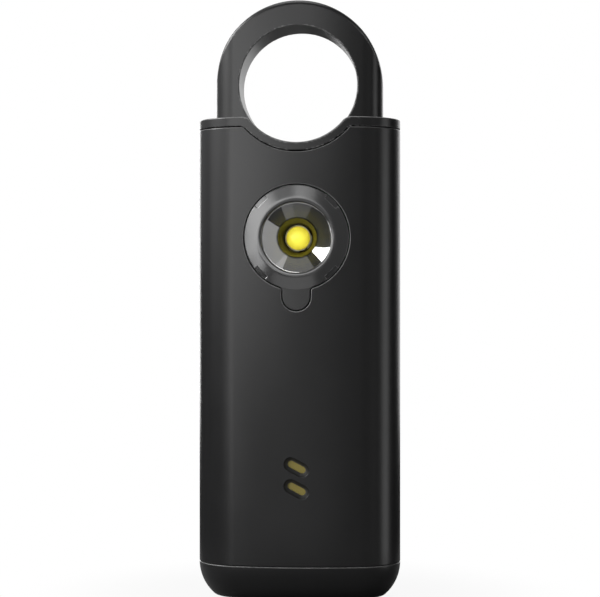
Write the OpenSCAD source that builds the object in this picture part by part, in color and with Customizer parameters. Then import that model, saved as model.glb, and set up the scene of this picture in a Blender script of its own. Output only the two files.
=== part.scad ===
// Pocket safety alarm: an oval sleeve with a pull-out ring on top, a push-button torch on its front
// and two leaning signal windows below. Pulling the ring's prongs out of their sockets sets off the siren.
// Millimetres, +Z up, the front faces -Y, the origin is the middle of the underside.

/* [Case] */
// Width of the case
body_w = 32; // [31:0.5:35]
// Depth of the case at its middle
body_d = 17; // [16.5:0.5:20]
// Radius of the bowed front and back faces
crown_r = 51; // [46:1:70]
// Wall of the sleeve
wall = 1.5; // [1.2:0.1:1.7]
// Height of the sleeve's shoulders above the underside
shoulder_z = 73.8; // [73:0.2:80]
// Rounding of the shoulders' corners beside the dip
corner_r = 0.8; // [0.4:0.1:1.2]
// Length of the four ledges that carry the frame's deck
ledge_l = 2.4; // [1.6:0.2:3]
// Reach of those ledges into the sleeve
ledge_reach = 0.9; // [0.6:0.1:1.1]
// Height of those ledges
ledge_h = 0.8; // [0.6:0.1:1.2]

/* [Base cap] */
// Height of the base cap's visible part
base_h = 5.4; // [4.8:0.1:5.8]
// Radius with which the base cap curls in under the case
base_curl_r = 6.9; // [5.9:0.1:8]
// Floor of the base cap
base_floor = 2.2; // [2:0.1:2.6]
// Height of the spigot that the sleeve slips over
spigot_h = 3; // [2.6:0.1:3.6]
// Wall of the spigot
spigot_t = 1.2; // [1.1:0.1:1.4]
// Height of the spigot's rubber seal
seal_h = 0.8; // [0.6:0.1:1]
// Distance of the seal above the visible seam
seal_rise = 1; // [0.8:0.1:1.4]
// Radius of the base cap's screws
cap_screw_r = 0.8; // [0.7:0.05:0.9]
// Length of the base cap's screws below the head
cap_screw_l = 4.2; // [3.6:0.1:5]
// Thickness of the screws' heads
cap_head_t = 0.9; // [0.7:0.1:1]
// Depth of the heads below the underside
cap_head_sink = 0.2; // [0.1:0.05:0.3]

/* [Pull ring] */
// Radius of the finger hole
hole_r = 9.3; // [8.6:0.1:9.8]
// Width of the band round the finger hole
ring_band = 4; // [3.4:0.1:4.4]
// Depth of the band
ring_d = 10; // [8:0.5:12]
// Height of the hole's centre above the flange
hole_rise = 5.3; // [5.2:0.1:6.4]
// Thickness of the flange that closes the sleeve
flange_t = 1.4; // [1.2:0.1:1.8]
// Rounding of the band's outer edges
ring_edge_r = 0.7; // [0.4:0.1:1]
// Open seam between the flange and the sleeve
seam = 0.2; // [0.1:0.05:0.3]
// Depth of the plug that enters the sleeve's mouth
plug_h = 1.7; // [1.4:0.1:2]
// Radius of the two prongs
prong_r = 2; // [1.8:0.1:2.1]
// Length of the prongs below the plug
prong_l = 14; // [12:0.5:15]
// Thickness of a prong's rubber seal
prong_seal_t = 0.8; // [0.6:0.1:0.9]
// Height by which a prong's seal stands proud of the prong
prong_seal_rise = 0.09; // [0.05:0.01:0.09]
// Radius of the trigger magnet
magnet_r = 1.2; // [1:0.1:1.3]
// Height of the trigger magnet
magnet_h = 3; // [2:0.5:4]

/* [Torch button] */
// Distance of the torch's centre below the shoulders
torch_drop = 17.2; // [16.8:0.1:18]
// Radius of the bezel
bezel_r = 8.1; // [8:0.05:8.5]
// Width of the thumb tab
tab_w = 4.2; // [4:0.1:5]
// Reach of the thumb tab below the torch's centre
tab_reach = 11.3; // [11.2:0.1:12.2]
// Height by which the bezel's rim stands proud
rim_rise = 0.35; // [0.2:0.05:0.5]
// Radius of the torch's mouth
mouth_r = 5.45; // [5.2:0.05:5.6]
// Thickness of the bezel's plate
plate_t = 1.3; // [1.1:0.1:1.4]
// Thickness of the lip in front of the lens
lip_t = 0.8; // [0.6:0.1:1]
// Reach of the lens behind the lip
lens_overlap = 0.45; // [0.3:0.05:0.5]
// Thickness of the lens
lens_t = 0.8; // [0.6:0.1:1]
// Wall of the skirt behind the bezel
skirt_t = 0.8; // [0.6:0.1:0.9]
// Thickness of the reflector's rim
reflector_rim_t = 0.5; // [0.4:0.1:0.7]
// Thickness of the reflector's cone
cone_wall = 0.35; // [0.25:0.05:0.4]
// Depth of the reflector's cone
cone_depth = 3; // [2.6:0.1:3.6]
// Radius of the light's yellow dome
dome_r = 1.95; // [1.6:0.05:2]
// Height of the light's yellow dome
dome_h = 1.2; // [0.9:0.1:1.5]
// Thickness of the light's package
package_t = 0.7; // [0.5:0.1:0.9]
// Width of a snap hook
hook_w = 1.6; // [1.2:0.1:1.8]
// Thickness of a snap hook's head
hook_t = 0.8; // [0.6:0.1:1]
// Reach of a snap hook behind the sleeve's wall
hook_reach = 0.7; // [0.5:0.1:0.9]
// Depth of the pocket moulded over each hook
pocket_depth = 0.3; // [0.2:0.05:0.4]
// Radius of the post that pushes the switch
post_r = 1.1; // [0.9:0.1:1.3]
// Wire of the return spring
spring_wire = 0.5; // [0.4:0.05:0.6]
// Turns of the return spring
spring_turns = 3; // [2:1:4]
// Travel of the button
press = 0.5; // [0.3:0.1:0.6]
// Width of the switch
switch_w = 3.4; // [3:0.1:3.6]
// Height of the switch
switch_t = 1.4; // [1.3:0.1:1.6]
// Radius of the switch's plunger
plunger_r = 0.8; // [0.6:0.1:1]
// Height of the plunger above the switch
plunger_rise = 0.7; // [0.7:0.1:0.9]

/* [Signal windows] */
// Height of the pair's centre above the underside
window_z = 19.2; // [18:0.2:21]
// Length of a window's countersink
window_l = 4.05; // [3.6:0.05:4.4]
// Width of a window's countersink
window_w = 2.1; // [1.8:0.05:2.2]
// Width of the countersink's slope
window_slope = 0.42; // [0.3:0.02:0.5]
// Depth of the countersink
window_sink = 0.8; // [0.5:0.1:0.9]
// Lean of the windows, in degrees
window_lean = 28; // [0:1:45]
// Distance between the two windows
window_pitch = 3.4; // [3:0.1:4]
// Depth of the light guide's faces below the countersink
guide_sink = 0.35; // [0.2:0.05:0.4]
// Margin of the light guide's block round the windows
guide_margin = 1; // [0.8:0.1:1.4]
// Sound slots in the back
sound_slots = 3; // [1:1:4]
// Length of a sound slot
sound_slot_l = 4.2; // [3:0.2:6]
// Width of a sound slot
sound_slot_w = 1.2; // [0.8:0.1:1.6]
// Distance between the sound slots
sound_pitch = 3.4; // [3:0.1:4]

/* [Frame] */
// Thickness of the deck under the ring
deck_t = 1.3; // [1.1:0.1:1.6]
// Wall of the prongs' sockets
socket_t = 0.75; // [0.7:0.05:0.9]
// Floor of the prongs' sockets
socket_floor = 0.8; // [0.6:0.1:1]
// Width of the side rails
rail_w = 2.2; // [2:0.1:2.4]
// Depth of the side rails
rail_d = 2.2; // [1.8:0.1:2.3]
// Radius of the screw bosses
boss_r = 2; // [1.8:0.1:2.2]
// Distance of the bosses inside the rails
boss_step = 0.6; // [0.4:0.1:0.8]

/* [Electronics] */
// Thickness of the circuit board
board_t = 1; // [0.8:0.1:1.2]
// Distance of the board's front face ahead of the mid-plane
board_ahead = 0.9; // [0.7:0.1:1.1]
// Margin between the board and the sleeve
board_margin = 0.6; // [0.4:0.1:1]
// Radius of the board's screws
board_screw_r = 0.55; // [0.5:0.05:0.6]
// Thickness of the board screws' heads
board_head_t = 0.7; // [0.6:0.1:0.9]
// Thickness of the battery
battery_t = 4.6; // [4:0.1:4.8]
// Height of the battery
battery_h = 24; // [20:1:25]
// Rounding of the battery's edges
battery_edge_r = 1.2; // [0.6:0.1:1.6]
// Thickness of the battery's foam pad
pad_t = 0.5; // [0.3:0.1:0.6]
// Margin of the foam pad inside the battery's face
pad_margin = 2; // [1:0.5:3]
// Wall of the sounder's holder
holder_t = 0.9; // [0.7:0.1:1.1]
// Reach of the ledge that carries the sounder's plate
sounder_ledge = 0.9; // [0.7:0.1:1.1]
// Thickness of that ledge
sounder_ledge_t = 0.6; // [0.4:0.1:0.8]
// Depth of the sound chamber behind the plate
chamber_d = 2.6; // [2.2:0.1:2.8]
// Thickness of the sounder's brass plate
sounder_t = 0.3; // [0.2:0.05:0.4]
// Radius of the sounder's ceramic disc
ceramic_r = 6; // [5:0.5:6.5]
// Thickness of the ceramic disc
ceramic_t = 0.25; // [0.2:0.05:0.4]
// Radius of the insulated wires
lead_r = 0.4; // [0.3:0.05:0.45]
// Radius of the boost coil
coil_r = 3.4; // [3:0.1:3.8]
// Height of the boost coil
coil_h = 4; // [3:0.1:4.6]
// Thickness of the boost coil's cheeks
coil_cheek = 0.7; // [0.5:0.1:0.9]
// Radius of the boost coil's hub
coil_hub_r = 1.4; // [1.2:0.1:1.6]
// Width of the controller chip
chip_w = 5; // [4:0.5:6]
// Thickness of the controller chip
chip_t = 0.9; // [0.7:0.1:1.2]
// Length of a capacitor
capacitor_l = 2; // [1.6:0.1:2.4]
// Radius of the reed switch
reed_r = 0.8; // [0.7:0.05:0.9]
// Length of the reed switch's glass
reed_l = 5.5; // [5:0.5:6.5]
// Width of the charging socket
port_w = 8.9; // [8.5:0.1:9.2]
// Thickness of the charging socket
port_t = 3.2; // [3:0.1:3.4]
// Metal of the charging socket's shell
port_shell_t = 0.3; // [0.2:0.05:0.4]
// Height of the charging socket's mouth above the underside
port_recess = 0.6; // [0.4:0.1:1]

/* [Clearances] */
// Gap of a fixed fit
fit = 0.1; // [0.08:0.01:0.15]
// Gap round a prong in its socket
slide_fit = 0.12; // [0.1:0.01:0.15]
// Gap round the torch button in the sleeve
button_gap = 0.2; // [0.15:0.05:0.25]
// Gap between curved faces that must never touch
free_gap = 0.3; // [0.25:0.05:0.4]
// Gap of a snug seat
snug = 0.05; // [0.03:0.01:0.08]
// Gap round a screw in its thread
thread_fit = 0.02; // [0.01:0.01:0.03]
// Gap round a screw in its clearance hole
screw_room = 0.15; // [0.1:0.05:0.2]
// Gap round the charging socket in the base cap
port_room = 0.2; // [0.1:0.05:0.3]
// Gap beside the battery and the sounder
bay_gap = 0.4; // [0.3:0.1:0.6]

/* [Hidden] */
$fn = 64;

// Facets of wide and of tight arcs, where a shape is drawn with flat facets
crown_facets = 180;
side_facets = 48;
// Overlap that lets neighbouring arcs cross cleanly
blend = 0.005;
// Reach of a cut that passes right through
far = 60;

// Case
half_w = body_w / 2;
half_d = body_d / 2;
inner_inset = wall + fit;
spigot_inset = inner_inset + spigot_t;
groove_inset = inner_inset + spigot_t / 2;

// Heights of the pull ring and of the deck under it
flange_z = shoulder_z + seam;
flange_top = flange_z + flange_t;
ring_z = flange_top + hole_rise;
ring_r = hole_r + ring_band;
dip_r = hole_r + flange_t;
deck_z = flange_z - plug_h;
trough_in_r = dip_r + free_gap;
trough_out_r = trough_in_r + deck_t;

// Prongs and their sockets
socket_r = prong_r + slide_fit;
socket_out_r = socket_r + socket_t;
prong_x = half_w - inner_inset - socket_out_r - free_gap;
prong_tip_z = deck_z - prong_l;
prong_seal_z = deck_z - prong_l / 2;
socket_z = prong_tip_z - free_gap - socket_floor;

// Torch, with heights measured forward from the mid-plane
torch_z = shoulder_z - torch_drop;
tab_r = tab_w / 2;
lens_r = mouth_r + lens_overlap;
lens_front = half_d - lip_t;
lens_back = lens_front - lens_t;
reflector_back = lens_back - reflector_rim_t;
skirt_in_r = lens_r + snug;
skirt_out_r = skirt_in_r + skirt_t;
skirt_end = reflector_back - skirt_t;
package_r = dome_r + screw_room;
cone_r = mouth_r - cone_wall;
cone_end_r = package_r + fit;
cone_end = lens_back - cone_depth;
light_seat = cone_end - press - fit;
hook_angle = 45;
hook_in_r = bezel_r - 1;
hook_far_x = (bezel_r + hook_reach + hook_w / 2) * cos(hook_angle);
hook_front = half_d - wall - crown_drop(hook_far_x, wall) - fit;
switch_z = torch_z - tab_reach + tab_r;
plunger_top = board_ahead + switch_t + plunger_rise;

// Circuit board, frame and screws
board_y = -board_ahead;
board_back = board_y + board_t;
board_z = base_h + spigot_h + free_gap;
board_top = ring_z - trough_out_r - free_gap;
board_half_w = half_w - inner_inset - board_margin;
board_neck = prong_x - socket_out_r - free_gap;
bay_half = prong_x - rail_w / 2;
boss_x = bay_half - boss_step;
cap_head_r = 2 * cap_screw_r;
cap_seat = cap_head_sink + cap_head_t;
board_head_r = 2 * board_screw_r;
board_screw_z = [board_z + 2 * rail_w, socket_z - 3 * rail_w];
port_y = board_y + board_t / 2;

// Sounder and battery, stacked behind the board
holder_r = bay_half - bay_gap;
sounder_z = board_z + holder_r;
sounder_r = holder_r - holder_t - snug;
ledge_in_r = holder_r - holder_t - sounder_ledge;
sounder_seat = half_d - wall - chamber_d;
battery_z = sounder_z + holder_r + 3 * bay_gap;
battery_half_w = bay_half - bay_gap;
battery_y = board_back + pad_t;
battery_top = battery_z + battery_h;

// Signal windows and the row of parts between them and the switch
slot_l = window_l - 2 * window_slope;
slot_w = window_w - 2 * window_slope;
guide_w = window_l + 2 * guide_margin;
guide_h = window_pitch + window_w + 2 * guide_margin;
guide_front = half_d - wall - crown_drop(guide_w / 2, wall) - fit;
signal_light_t = 0.8;
part_row_z = (window_z + guide_h / 2 + switch_z - switch_w / 2) / 2;
part_gap = 2;

// Side radius of an oval whose crown arcs have radius cr
function side_radius(hw, hd, cr) = (2 * cr * hd - hw * hw - hd * hd) / (2 * (cr - hw));

// Depth by which the crown falls away at x, on a face moved inwards by inset
function crown_drop(x, inset = 0) = crown_r - inset - sqrt(pow(crown_r - inset, 2) - x * x);

// Distance that the base cap has curled in at height z
function curl_inset(z) = base_curl_r - sqrt(pow(base_curl_r, 2) - pow(base_h - z, 2));

// Oval of two wide crown arcs and two tight side arcs that run into each other
module oval(hw, hd, cr, inset = 0) {
  sr = side_radius(hw, hd, cr);
  side_x = hw - sr;
  crown_y = cr - hd;
  join_x = side_x * (cr - inset) / (cr - sr);
  intersection() {
    translate([0, crown_y]) circle(cr - inset, $fn = crown_facets);
    translate([0, -crown_y]) circle(cr - inset, $fn = crown_facets);
    square([2 * join_x, 4 * hd], center = true);
  }
  for (side = [-1, 1])
    translate([side * side_x, 0]) circle(sr - inset + blend, $fn = side_facets);
}

// Upright prism of the case's outline, moved inwards by inset
module case_prism(inset, z0, z1) {
  translate([0, 0, z0]) linear_extrude(z1 - z0) oval(half_w, half_d, crown_r, inset);
}

// Extrudes an outline drawn in X and Z from y0 back to y1
module along_y(y0, y1) {
  translate([0, y1, 0]) rotate([90, 0, 0]) linear_extrude(y1 - y0) children();
}

// Turns a profile of radius and forward height about an axis that points to the front
module turned_to_front(z) {
  translate([0, 0, z]) rotate([90, 0, 0]) rotate_extrude() children();
}

// Upright rod between two heights
module rod(r, z0, z1) {
  translate([0, 0, z0]) cylinder(r = r, h = z1 - z0);
}

// Rod along Y between two depths
module rod_y(r, y0, y1) {
  translate([0, y1, 0]) rotate([90, 0, 0]) cylinder(r = r, h = y1 - y0);
}

// Slot outline with round ends
module pill(l, w) {
  square([l - w, w], center = true);
  for (side = [-1, 1])
    translate([side * (l - w) / 2, 0]) circle(w / 2, $fn = 32);
}

// Region above height z or within r of the finger hole's centre, with the corners between them rounded
module dip_region(r, z, round_r) {
  reach = round_r - blend;
  rise = ring_z - z;
  round_x = sqrt(pow(r + reach, 2) - pow(rise + reach, 2));
  inside = (r - reach) / (r + reach);
  translate([-far, z]) square([2 * far, far]);
  translate([0, ring_z]) circle(r);
  for (side = [-1, 1])
    difference() {
      polygon([
        [side * round_x, z + reach],
        [side * round_x, z - reach],
        [side * round_x * inside, ring_z - (rise + reach) * inside]
      ]);
      translate([side * round_x, z - reach]) circle(round_r);
    }
}

// Round bezel with its thumb tab below, widened by gap
module keyhole(gap = 0) {
  tab_z = torch_z - tab_reach + tab_r;
  translate([0, torch_z]) circle(bezel_r + gap);
  translate([0, tab_z]) circle(tab_r + gap);
  translate([-tab_r - gap, tab_z]) square([tab_w + 2 * gap, torch_z - tab_z]);
}

// Case

module body_sleeve() {
  color([0.1, 0.1, 0.11])
  difference() {
    union() {
      difference() {
        case_prism(0, base_h, ring_z);
        case_prism(wall, base_h - 1, ring_z + 1);
      }
      for (side = [-1, 1]) deck_ledges(side);
    }
    along_y(-far, far) dip_region(dip_r + seam, shoulder_z, corner_r);
    along_y(-far, 0) keyhole(button_gap);
    for (side = [-1, 1]) signal_window(side);
    for (row = [0:sound_slots - 1])
      translate([0, 0, sounder_z + (row - (sound_slots - 1) / 2) * sound_pitch])
        along_y(0, far) rotate(-window_lean) pill(sound_slot_l, sound_slot_w);
  }
}

// Two small ledges under the flat of the deck, on the front and the back wall
module deck_ledges(side) {
  top = deck_z - deck_t;
  intersection() {
    difference() {
      case_prism(wall / 2, top - ledge_h, top);
      case_prism(wall + ledge_reach, top - far, top + 1);
    }
    translate([side * bay_half - ledge_l / 2, -far, top - far]) cube([ledge_l, 2 * far, 2 * far]);
  }
}

// Countersunk slot through the front wall, above or below the pair's centre
module signal_window(side) {
  translate([0, 0, window_z + side * window_pitch / 2]) {
    along_y(-far, 0) rotate(-window_lean) pill(slot_l, slot_w);
    hull() {
      along_y(-half_d - blend, -half_d) rotate(-window_lean) pill(window_l, window_w);
      along_y(-half_d, -half_d + window_sink) rotate(-window_lean) pill(slot_l, slot_w);
    }
  }
}

module base_cap() {
  steps = 8;
  color([0.08, 0.08, 0.09])
  difference() {
    union() {
      // Bowl that curls in below the seam
      hull()
        for (i = [0:steps]) {
          z = (base_h - blend) * (1 - cos(90 * i / steps));
          case_prism(curl_inset(z), z, z + blend);
        }
      difference() {
        case_prism(inner_inset, base_floor, base_h + spigot_h);
        seal_ring(wall / 2);
      }
    }
    case_prism(spigot_inset, base_floor, base_h + spigot_h + 1);
    for (side = [-1, 1])
      translate([side * boss_x, 0, 0]) {
        rod(cap_screw_r + screw_room, -1, base_floor + 1);
        rod(cap_head_r + screw_room, -1, cap_seat);
      }
    translate([0, port_y, -1]) linear_extrude(base_floor + 2) pill(port_w + 2 * port_room, port_t + 2 * port_room);
  }
}

// Ring between an outer inset and the floor of the spigot's groove
module seal_ring(outer_inset) {
  z = base_h + seal_rise;
  difference() {
    case_prism(outer_inset, z, z + seal_h);
    case_prism(groove_inset, z - 1, z + seal_h + 1);
  }
}

module base_seal() {
  color([0.16, 0.16, 0.16]) seal_ring(wall + thread_fit);
}

// Two screws that hold the base cap to the frame, driven up from the underside
module cap_screws() {
  color([0.72, 0.72, 0.74])
  for (side = [-1, 1])
    translate([side * boss_x, 0, cap_seat])
      mirror([0, 0, 1]) cross_screw(cap_screw_r, cap_screw_l, cap_head_r, cap_head_t);
}

// Screw with its head above the origin and its shank below
module cross_screw(r, l, head_r, head_t) {
  slot_w = r / 2;
  difference() {
    union() {
      cylinder(r = head_r, h = head_t);
      translate([0, 0, -l]) cylinder(r = r, h = l + head_t / 2);
    }
    for (turn = [0, 90])
      rotate(turn) translate([-head_r * 0.6, -slot_w / 2, head_t / 2]) cube([head_r * 1.2, slot_w, head_t]);
  }
}

// Moulded frame: deck under the ring with two sockets, and two rails down to the base
module inner_frame() {
  color([0.2, 0.2, 0.21])
  difference() {
    union() {
      intersection() {
        case_prism(inner_inset, ring_z - trough_out_r - 1, deck_z);
        along_y(-far, far)
          difference() {
            dip_region(trough_out_r, deck_z - deck_t, corner_r);
            dip_region(trough_in_r, deck_z, corner_r);
          }
      }
      for (side = [-1, 1]) {
        translate([side * prong_x, 0, 0]) {
          rod(socket_out_r, socket_z, deck_z - deck_t / 2);
          translate([-rail_w / 2, board_back, base_floor])
            cube([rail_w, rail_d, socket_z + socket_floor - base_floor]);
        }
        translate([side * boss_x, 0, 0]) rod(boss_r, base_floor, board_z - free_gap);
      }
    }
    for (side = [-1, 1]) {
      translate([side * prong_x, 0, 0]) rod(socket_r, socket_z + socket_floor, deck_z + 1);
      translate([side * boss_x, 0, 0])
        rod(cap_screw_r + thread_fit, base_floor - 1, cap_seat + cap_screw_l + free_gap);
      for (z = board_screw_z)
        translate([side * prong_x, 0, z])
          rod_y(board_screw_r + thread_fit, board_back - 1, board_back + rail_d + 1);
    }
  }
}

// Pull ring

module pull_ring() {
  color([0.11, 0.11, 0.12])
  difference() {
    union() {
      ring_arch();
      // Flange that follows the case's outline and the dip
      intersection() {
        case_prism(0, ring_z - dip_r - 1, flange_top);
        along_y(-far, far)
          difference() {
            dip_region(dip_r, flange_z, corner_r + seam);
            dip_region(hole_r, flange_top, corner_r);
          }
      }
      // Plug in the sleeve's mouth, one block over each socket
      intersection() {
        case_prism(inner_inset + fit, deck_z, flange_z + flange_t / 2);
        along_y(-far, far)
          difference() {
            translate([-far, deck_z]) square([2 * far, far]);
            translate([0, ring_z]) circle(trough_in_r);
          }
      }
      for (side = [-1, 1])
        translate([side * prong_x, 0, 0]) rod(prong_r, prong_tip_z, flange_z);
    }
    translate([0, 0, ring_z]) rod_y(hole_r, -far, far);
    for (side = [-1, 1])
      translate([side * prong_x, 0, prong_seal_z]) prong_groove();
    translate([prong_x, 0, 0]) rod(magnet_r + thread_fit, prong_tip_z - 1, prong_tip_z + magnet_h);
  }
}

// Arch on two legs, whose plan is an oval with the case's own crown
module ring_arch() {
  half = ring_d / 2;
  intersection() {
    translate([0, 0, flange_z]) linear_extrude(ring_z + ring_r - flange_z) oval(ring_r, half, crown_r);
    union() {
      turned_to_front(ring_z) {
        translate([0, -half]) square([ring_r - ring_edge_r, ring_d]);
        translate([0, ring_edge_r - half]) square([ring_r, ring_d - 2 * ring_edge_r]);
        for (side = [-1, 1])
          translate([ring_r - ring_edge_r, side * (half - ring_edge_r)]) circle(ring_edge_r);
      }
      along_y(-half, half) translate([-ring_r, flange_z]) square([2 * ring_r, ring_z - flange_z]);
    }
  }
}

// Groove round a prong for its seal
module prong_groove() {
  translate([0, 0, -prong_seal_t / 2])
    difference() {
      cylinder(r = prong_r + 1, h = prong_seal_t);
      cylinder(r = prong_r + prong_seal_rise - prong_seal_t, h = prong_seal_t);
    }
}

module prong_seals() {
  color([0.5, 0.12, 0.1])
  for (side = [-1, 1])
    translate([side * prong_x, 0, prong_seal_z])
      rotate_extrude()
        translate([prong_r + prong_seal_rise - prong_seal_t / 2, 0]) circle(prong_seal_t / 2 - blend);
}

module trigger_magnet() {
  color([0.78, 0.78, 0.8])
  translate([prong_x, 0, 0]) rod(magnet_r, prong_tip_z, prong_tip_z + magnet_h);
}

// Torch button

module torch_bezel() {
  color([0.09, 0.09, 0.1])
  difference() {
    union() {
      // Plate flush with the case's crown
      intersection() {
        along_y(-half_d - 1, -half_d + plate_t) keyhole();
        case_prism(0, torch_z - 2 * tab_reach, torch_z + 2 * bezel_r);
      }
      // Rim that swells round the mouth
      intersection() {
        turned_to_front(torch_z) rim_profile();
        case_prism(-rim_rise, torch_z - 2 * bezel_r, torch_z + 2 * bezel_r);
      }
      turned_to_front(torch_z) translate([0, skirt_end]) square([skirt_out_r, half_d - plate_t / 2 - skirt_end]);
      for (quarter = [0:3]) at_hook(quarter) snap_hook();
      translate([0, 0, switch_z]) rod_y(post_r, -half_d + plate_t / 2, -plunger_top);
    }
    // Mouth, with the wider seat of the lens behind it
    turned_to_front(torch_z) {
      translate([0, skirt_end - 1]) square([skirt_in_r, lens_front - skirt_end + 1]);
      translate([0, lens_front - blend]) square([mouth_r, half_d + 2 * rim_rise - lens_front]);
    }
    for (quarter = [0:3]) at_hook(quarter) hook_pocket();
  }
}

// Turns a hook drawn along +X to one of the bezel's diagonals
module at_hook(quarter) {
  translate([0, 0, torch_z]) rotate([0, hook_angle + 90 * quarter, 0]) children();
}

// Half section of the swelling rim, highest between the mouth and the bezel's edge
module rim_profile() {
  span = (bezel_r - mouth_r) / 2;
  rim_r = (span * span + rim_rise * rim_rise) / (2 * rim_rise);
  intersection() {
    translate([mouth_r + span, half_d + rim_rise - rim_r]) circle(rim_r, $fn = crown_facets);
    translate([0, half_d - plate_t / 2]) square([bezel_r, plate_t]);
  }
}

// Hook that catches behind the sleeve's wall
module snap_hook() {
  translate([hook_in_r, -half_d + plate_t / 2, -hook_w / 2])
    cube([bezel_r - hook_in_r - fit, half_d - plate_t / 2 - hook_front + hook_t, hook_w]);
  translate([hook_in_r, -hook_front, -hook_w / 2])
    cube([bezel_r + hook_reach - hook_in_r, hook_t, hook_w]);
}

// Shallow pocket over a hook
module hook_pocket() {
  floor_y = -half_d + crown_drop(bezel_r * cos(hook_angle)) + pocket_depth;
  pocket_l = 0.65;
  translate([hook_in_r + snug, floor_y - far, -hook_w / 2]) cube([pocket_l, far, hook_w]);
}

module torch_lens() {
  color([0.85, 0.88, 0.9, 0.4])
  turned_to_front(torch_z) translate([0, lens_back]) square([lens_r, lens_t]);
}

module torch_reflector() {
  color([0.8, 0.8, 0.82])
  turned_to_front(torch_z)
    difference() {
      union() {
        translate([0, reflector_back]) square([lens_r, reflector_rim_t]);
        polygon([
          [0, cone_end],
          [cone_end_r + cone_wall, cone_end],
          [cone_r + cone_wall, lens_back],
          [0, lens_back]
        ]);
      }
      polygon([
        [0, cone_end - 1],
        [cone_end_r, cone_end - 1],
        [cone_end_r, cone_end],
        [cone_r, lens_back],
        [cone_r, lens_back + 1],
        [0, lens_back + 1]
      ]);
    }
}

// Points round the spring's wire, at a number of turns along the coil
function spring_ring(turn, r, pitch, y0, sides) =
  [for (k = [0:sides - 1])
    let (
      out = r + spring_wire / 2 * cos(360 * k / sides),
      along = spring_wire / 2 * sin(360 * k / sides)
    )
    [out * cos(360 * turn), y0 + pitch * turn + along, out * sin(360 * turn)]];

module torch_spring() {
  sides = 6;
  per_turn = 24;
  rings = spring_turns * per_turn;
  spring_r = skirt_in_r + spring_wire / 2;
  start_y = -skirt_end + thread_fit + spring_wire / 2;
  pitch = (skirt_end - board_ahead - spring_wire - 2 * thread_fit) / spring_turns;
  points = [for (i = [0:rings]) each spring_ring(i / per_turn, spring_r, pitch, start_y, sides)];
  wall_faces = [for (i = [0:rings - 1], k = [0:sides - 1], half = [0, 1])
    let (a = i * sides + k, b = i * sides + (k + 1) % sides)
    half == 0 ? [a, b, a + sides] : [b, b + sides, a + sides]];
  end_faces = [for (k = [1:sides - 2], end = [0, 1])
    let (last = rings * sides)
    end == 0 ? [0, k + 1, k] : [last, last + k, last + k + 1]];
  echo(spring_gap = pitch - spring_wire);
  color([0.75, 0.75, 0.77])
  translate([0, 0, torch_z]) polyhedron(points, concat(wall_faces, end_faces));
}

module torch_light_base() {
  color([0.8, 0.7, 0.4])
  turned_to_front(torch_z)
    translate([0, board_ahead]) square([dome_r, light_seat - package_t - board_ahead]);
}

module torch_light_package() {
  color([0.9, 0.9, 0.88])
  turned_to_front(torch_z) translate([0, light_seat - package_t]) square([package_r, package_t]);
}

module torch_light_dome() {
  ball_r = (dome_r * dome_r + dome_h * dome_h) / (2 * dome_h);
  color([0.98, 0.92, 0.2])
  turned_to_front(torch_z)
    intersection() {
      translate([0, light_seat + dome_h - ball_r]) circle(ball_r);
      translate([0, light_seat]) square([dome_r, dome_h]);
    }
}

module switch_body() {
  color([0.15, 0.15, 0.15])
  difference() {
    translate([-switch_w / 2, board_y - switch_t, switch_z - switch_w / 2]) cube([switch_w, switch_t, switch_w]);
    translate([0, 0, switch_z]) rod_y(plunger_r + snug, board_y - switch_t - 1, board_y - snug);
  }
}

module switch_plunger() {
  color([0.85, 0.8, 0.7])
  translate([0, 0, switch_z]) rod_y(plunger_r, -plunger_top, board_y - press - 2 * snug);
}

// Signal windows

module signal_light_guide() {
  pill_front = half_d - window_sink - guide_sink;
  color([0.85, 0.75, 0.15])
  union() {
    difference() {
      translate([-guide_w / 2, -guide_front, window_z - guide_h / 2])
        cube([guide_w, guide_front - board_ahead, guide_h]);
      // Pocket over the lights
      translate([guide_margin - guide_w / 2, board_y - 1.5 * signal_light_t, window_z - guide_h / 2 + guide_margin])
        cube([guide_w - 2 * guide_margin, 2 * signal_light_t, guide_h - 2 * guide_margin]);
    }
    for (side = [-1, 1])
      translate([0, 0, window_z + side * window_pitch / 2])
        along_y(-pill_front, -guide_front + wall / 2) rotate(-window_lean) pill(slot_l - fit, slot_w - fit);
  }
}

module signal_lights() {
  light_w = 1.6;
  light_h = 1.4;
  color([0.95, 0.9, 0.5])
  for (side = [-1, 1])
    translate([-light_w / 2, board_y - signal_light_t, window_z + side * window_pitch / 2 - light_h / 2])
      cube([light_w, signal_light_t, light_h]);
}

// Circuit board and what it carries

module circuit_board() {
  color([0.05, 0.3, 0.15])
  difference() {
    along_y(board_y, board_back) {
      translate([-board_half_w, board_z]) square([2 * board_half_w, socket_z - free_gap - board_z]);
      translate([-board_neck, board_z]) square([2 * board_neck, board_top - board_z]);
    }
    for (side = [-1, 1], z = board_screw_z)
      translate([side * prong_x, 0, z]) rod_y(board_screw_r + screw_room, board_y - 1, board_back + 1);
  }
}

module board_screws() {
  color([0.72, 0.72, 0.74])
  for (side = [-1, 1], z = board_screw_z)
    translate([side * prong_x, board_y, z])
      rotate([90, 0, 0]) cross_screw(board_screw_r, board_t + rail_d - free_gap, board_head_r, board_head_t);
}

module controller_chip() {
  color([0.08, 0.08, 0.08])
  translate([-coil_r - part_gap - chip_w, board_y - chip_t, part_row_z - chip_w / 2]) cube([chip_w, chip_t, chip_w]);
}

module board_capacitors() {
  capacitor_w = 0.6 * capacitor_l;
  color([0.65, 0.5, 0.35])
  for (row = [-1, 0, 1])
    translate([coil_r + part_gap, board_y - capacitor_w, part_row_z + row * capacitor_l * 1.1 - capacitor_w / 2])
      cube([capacitor_l, capacitor_w, capacitor_w]);
}

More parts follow.
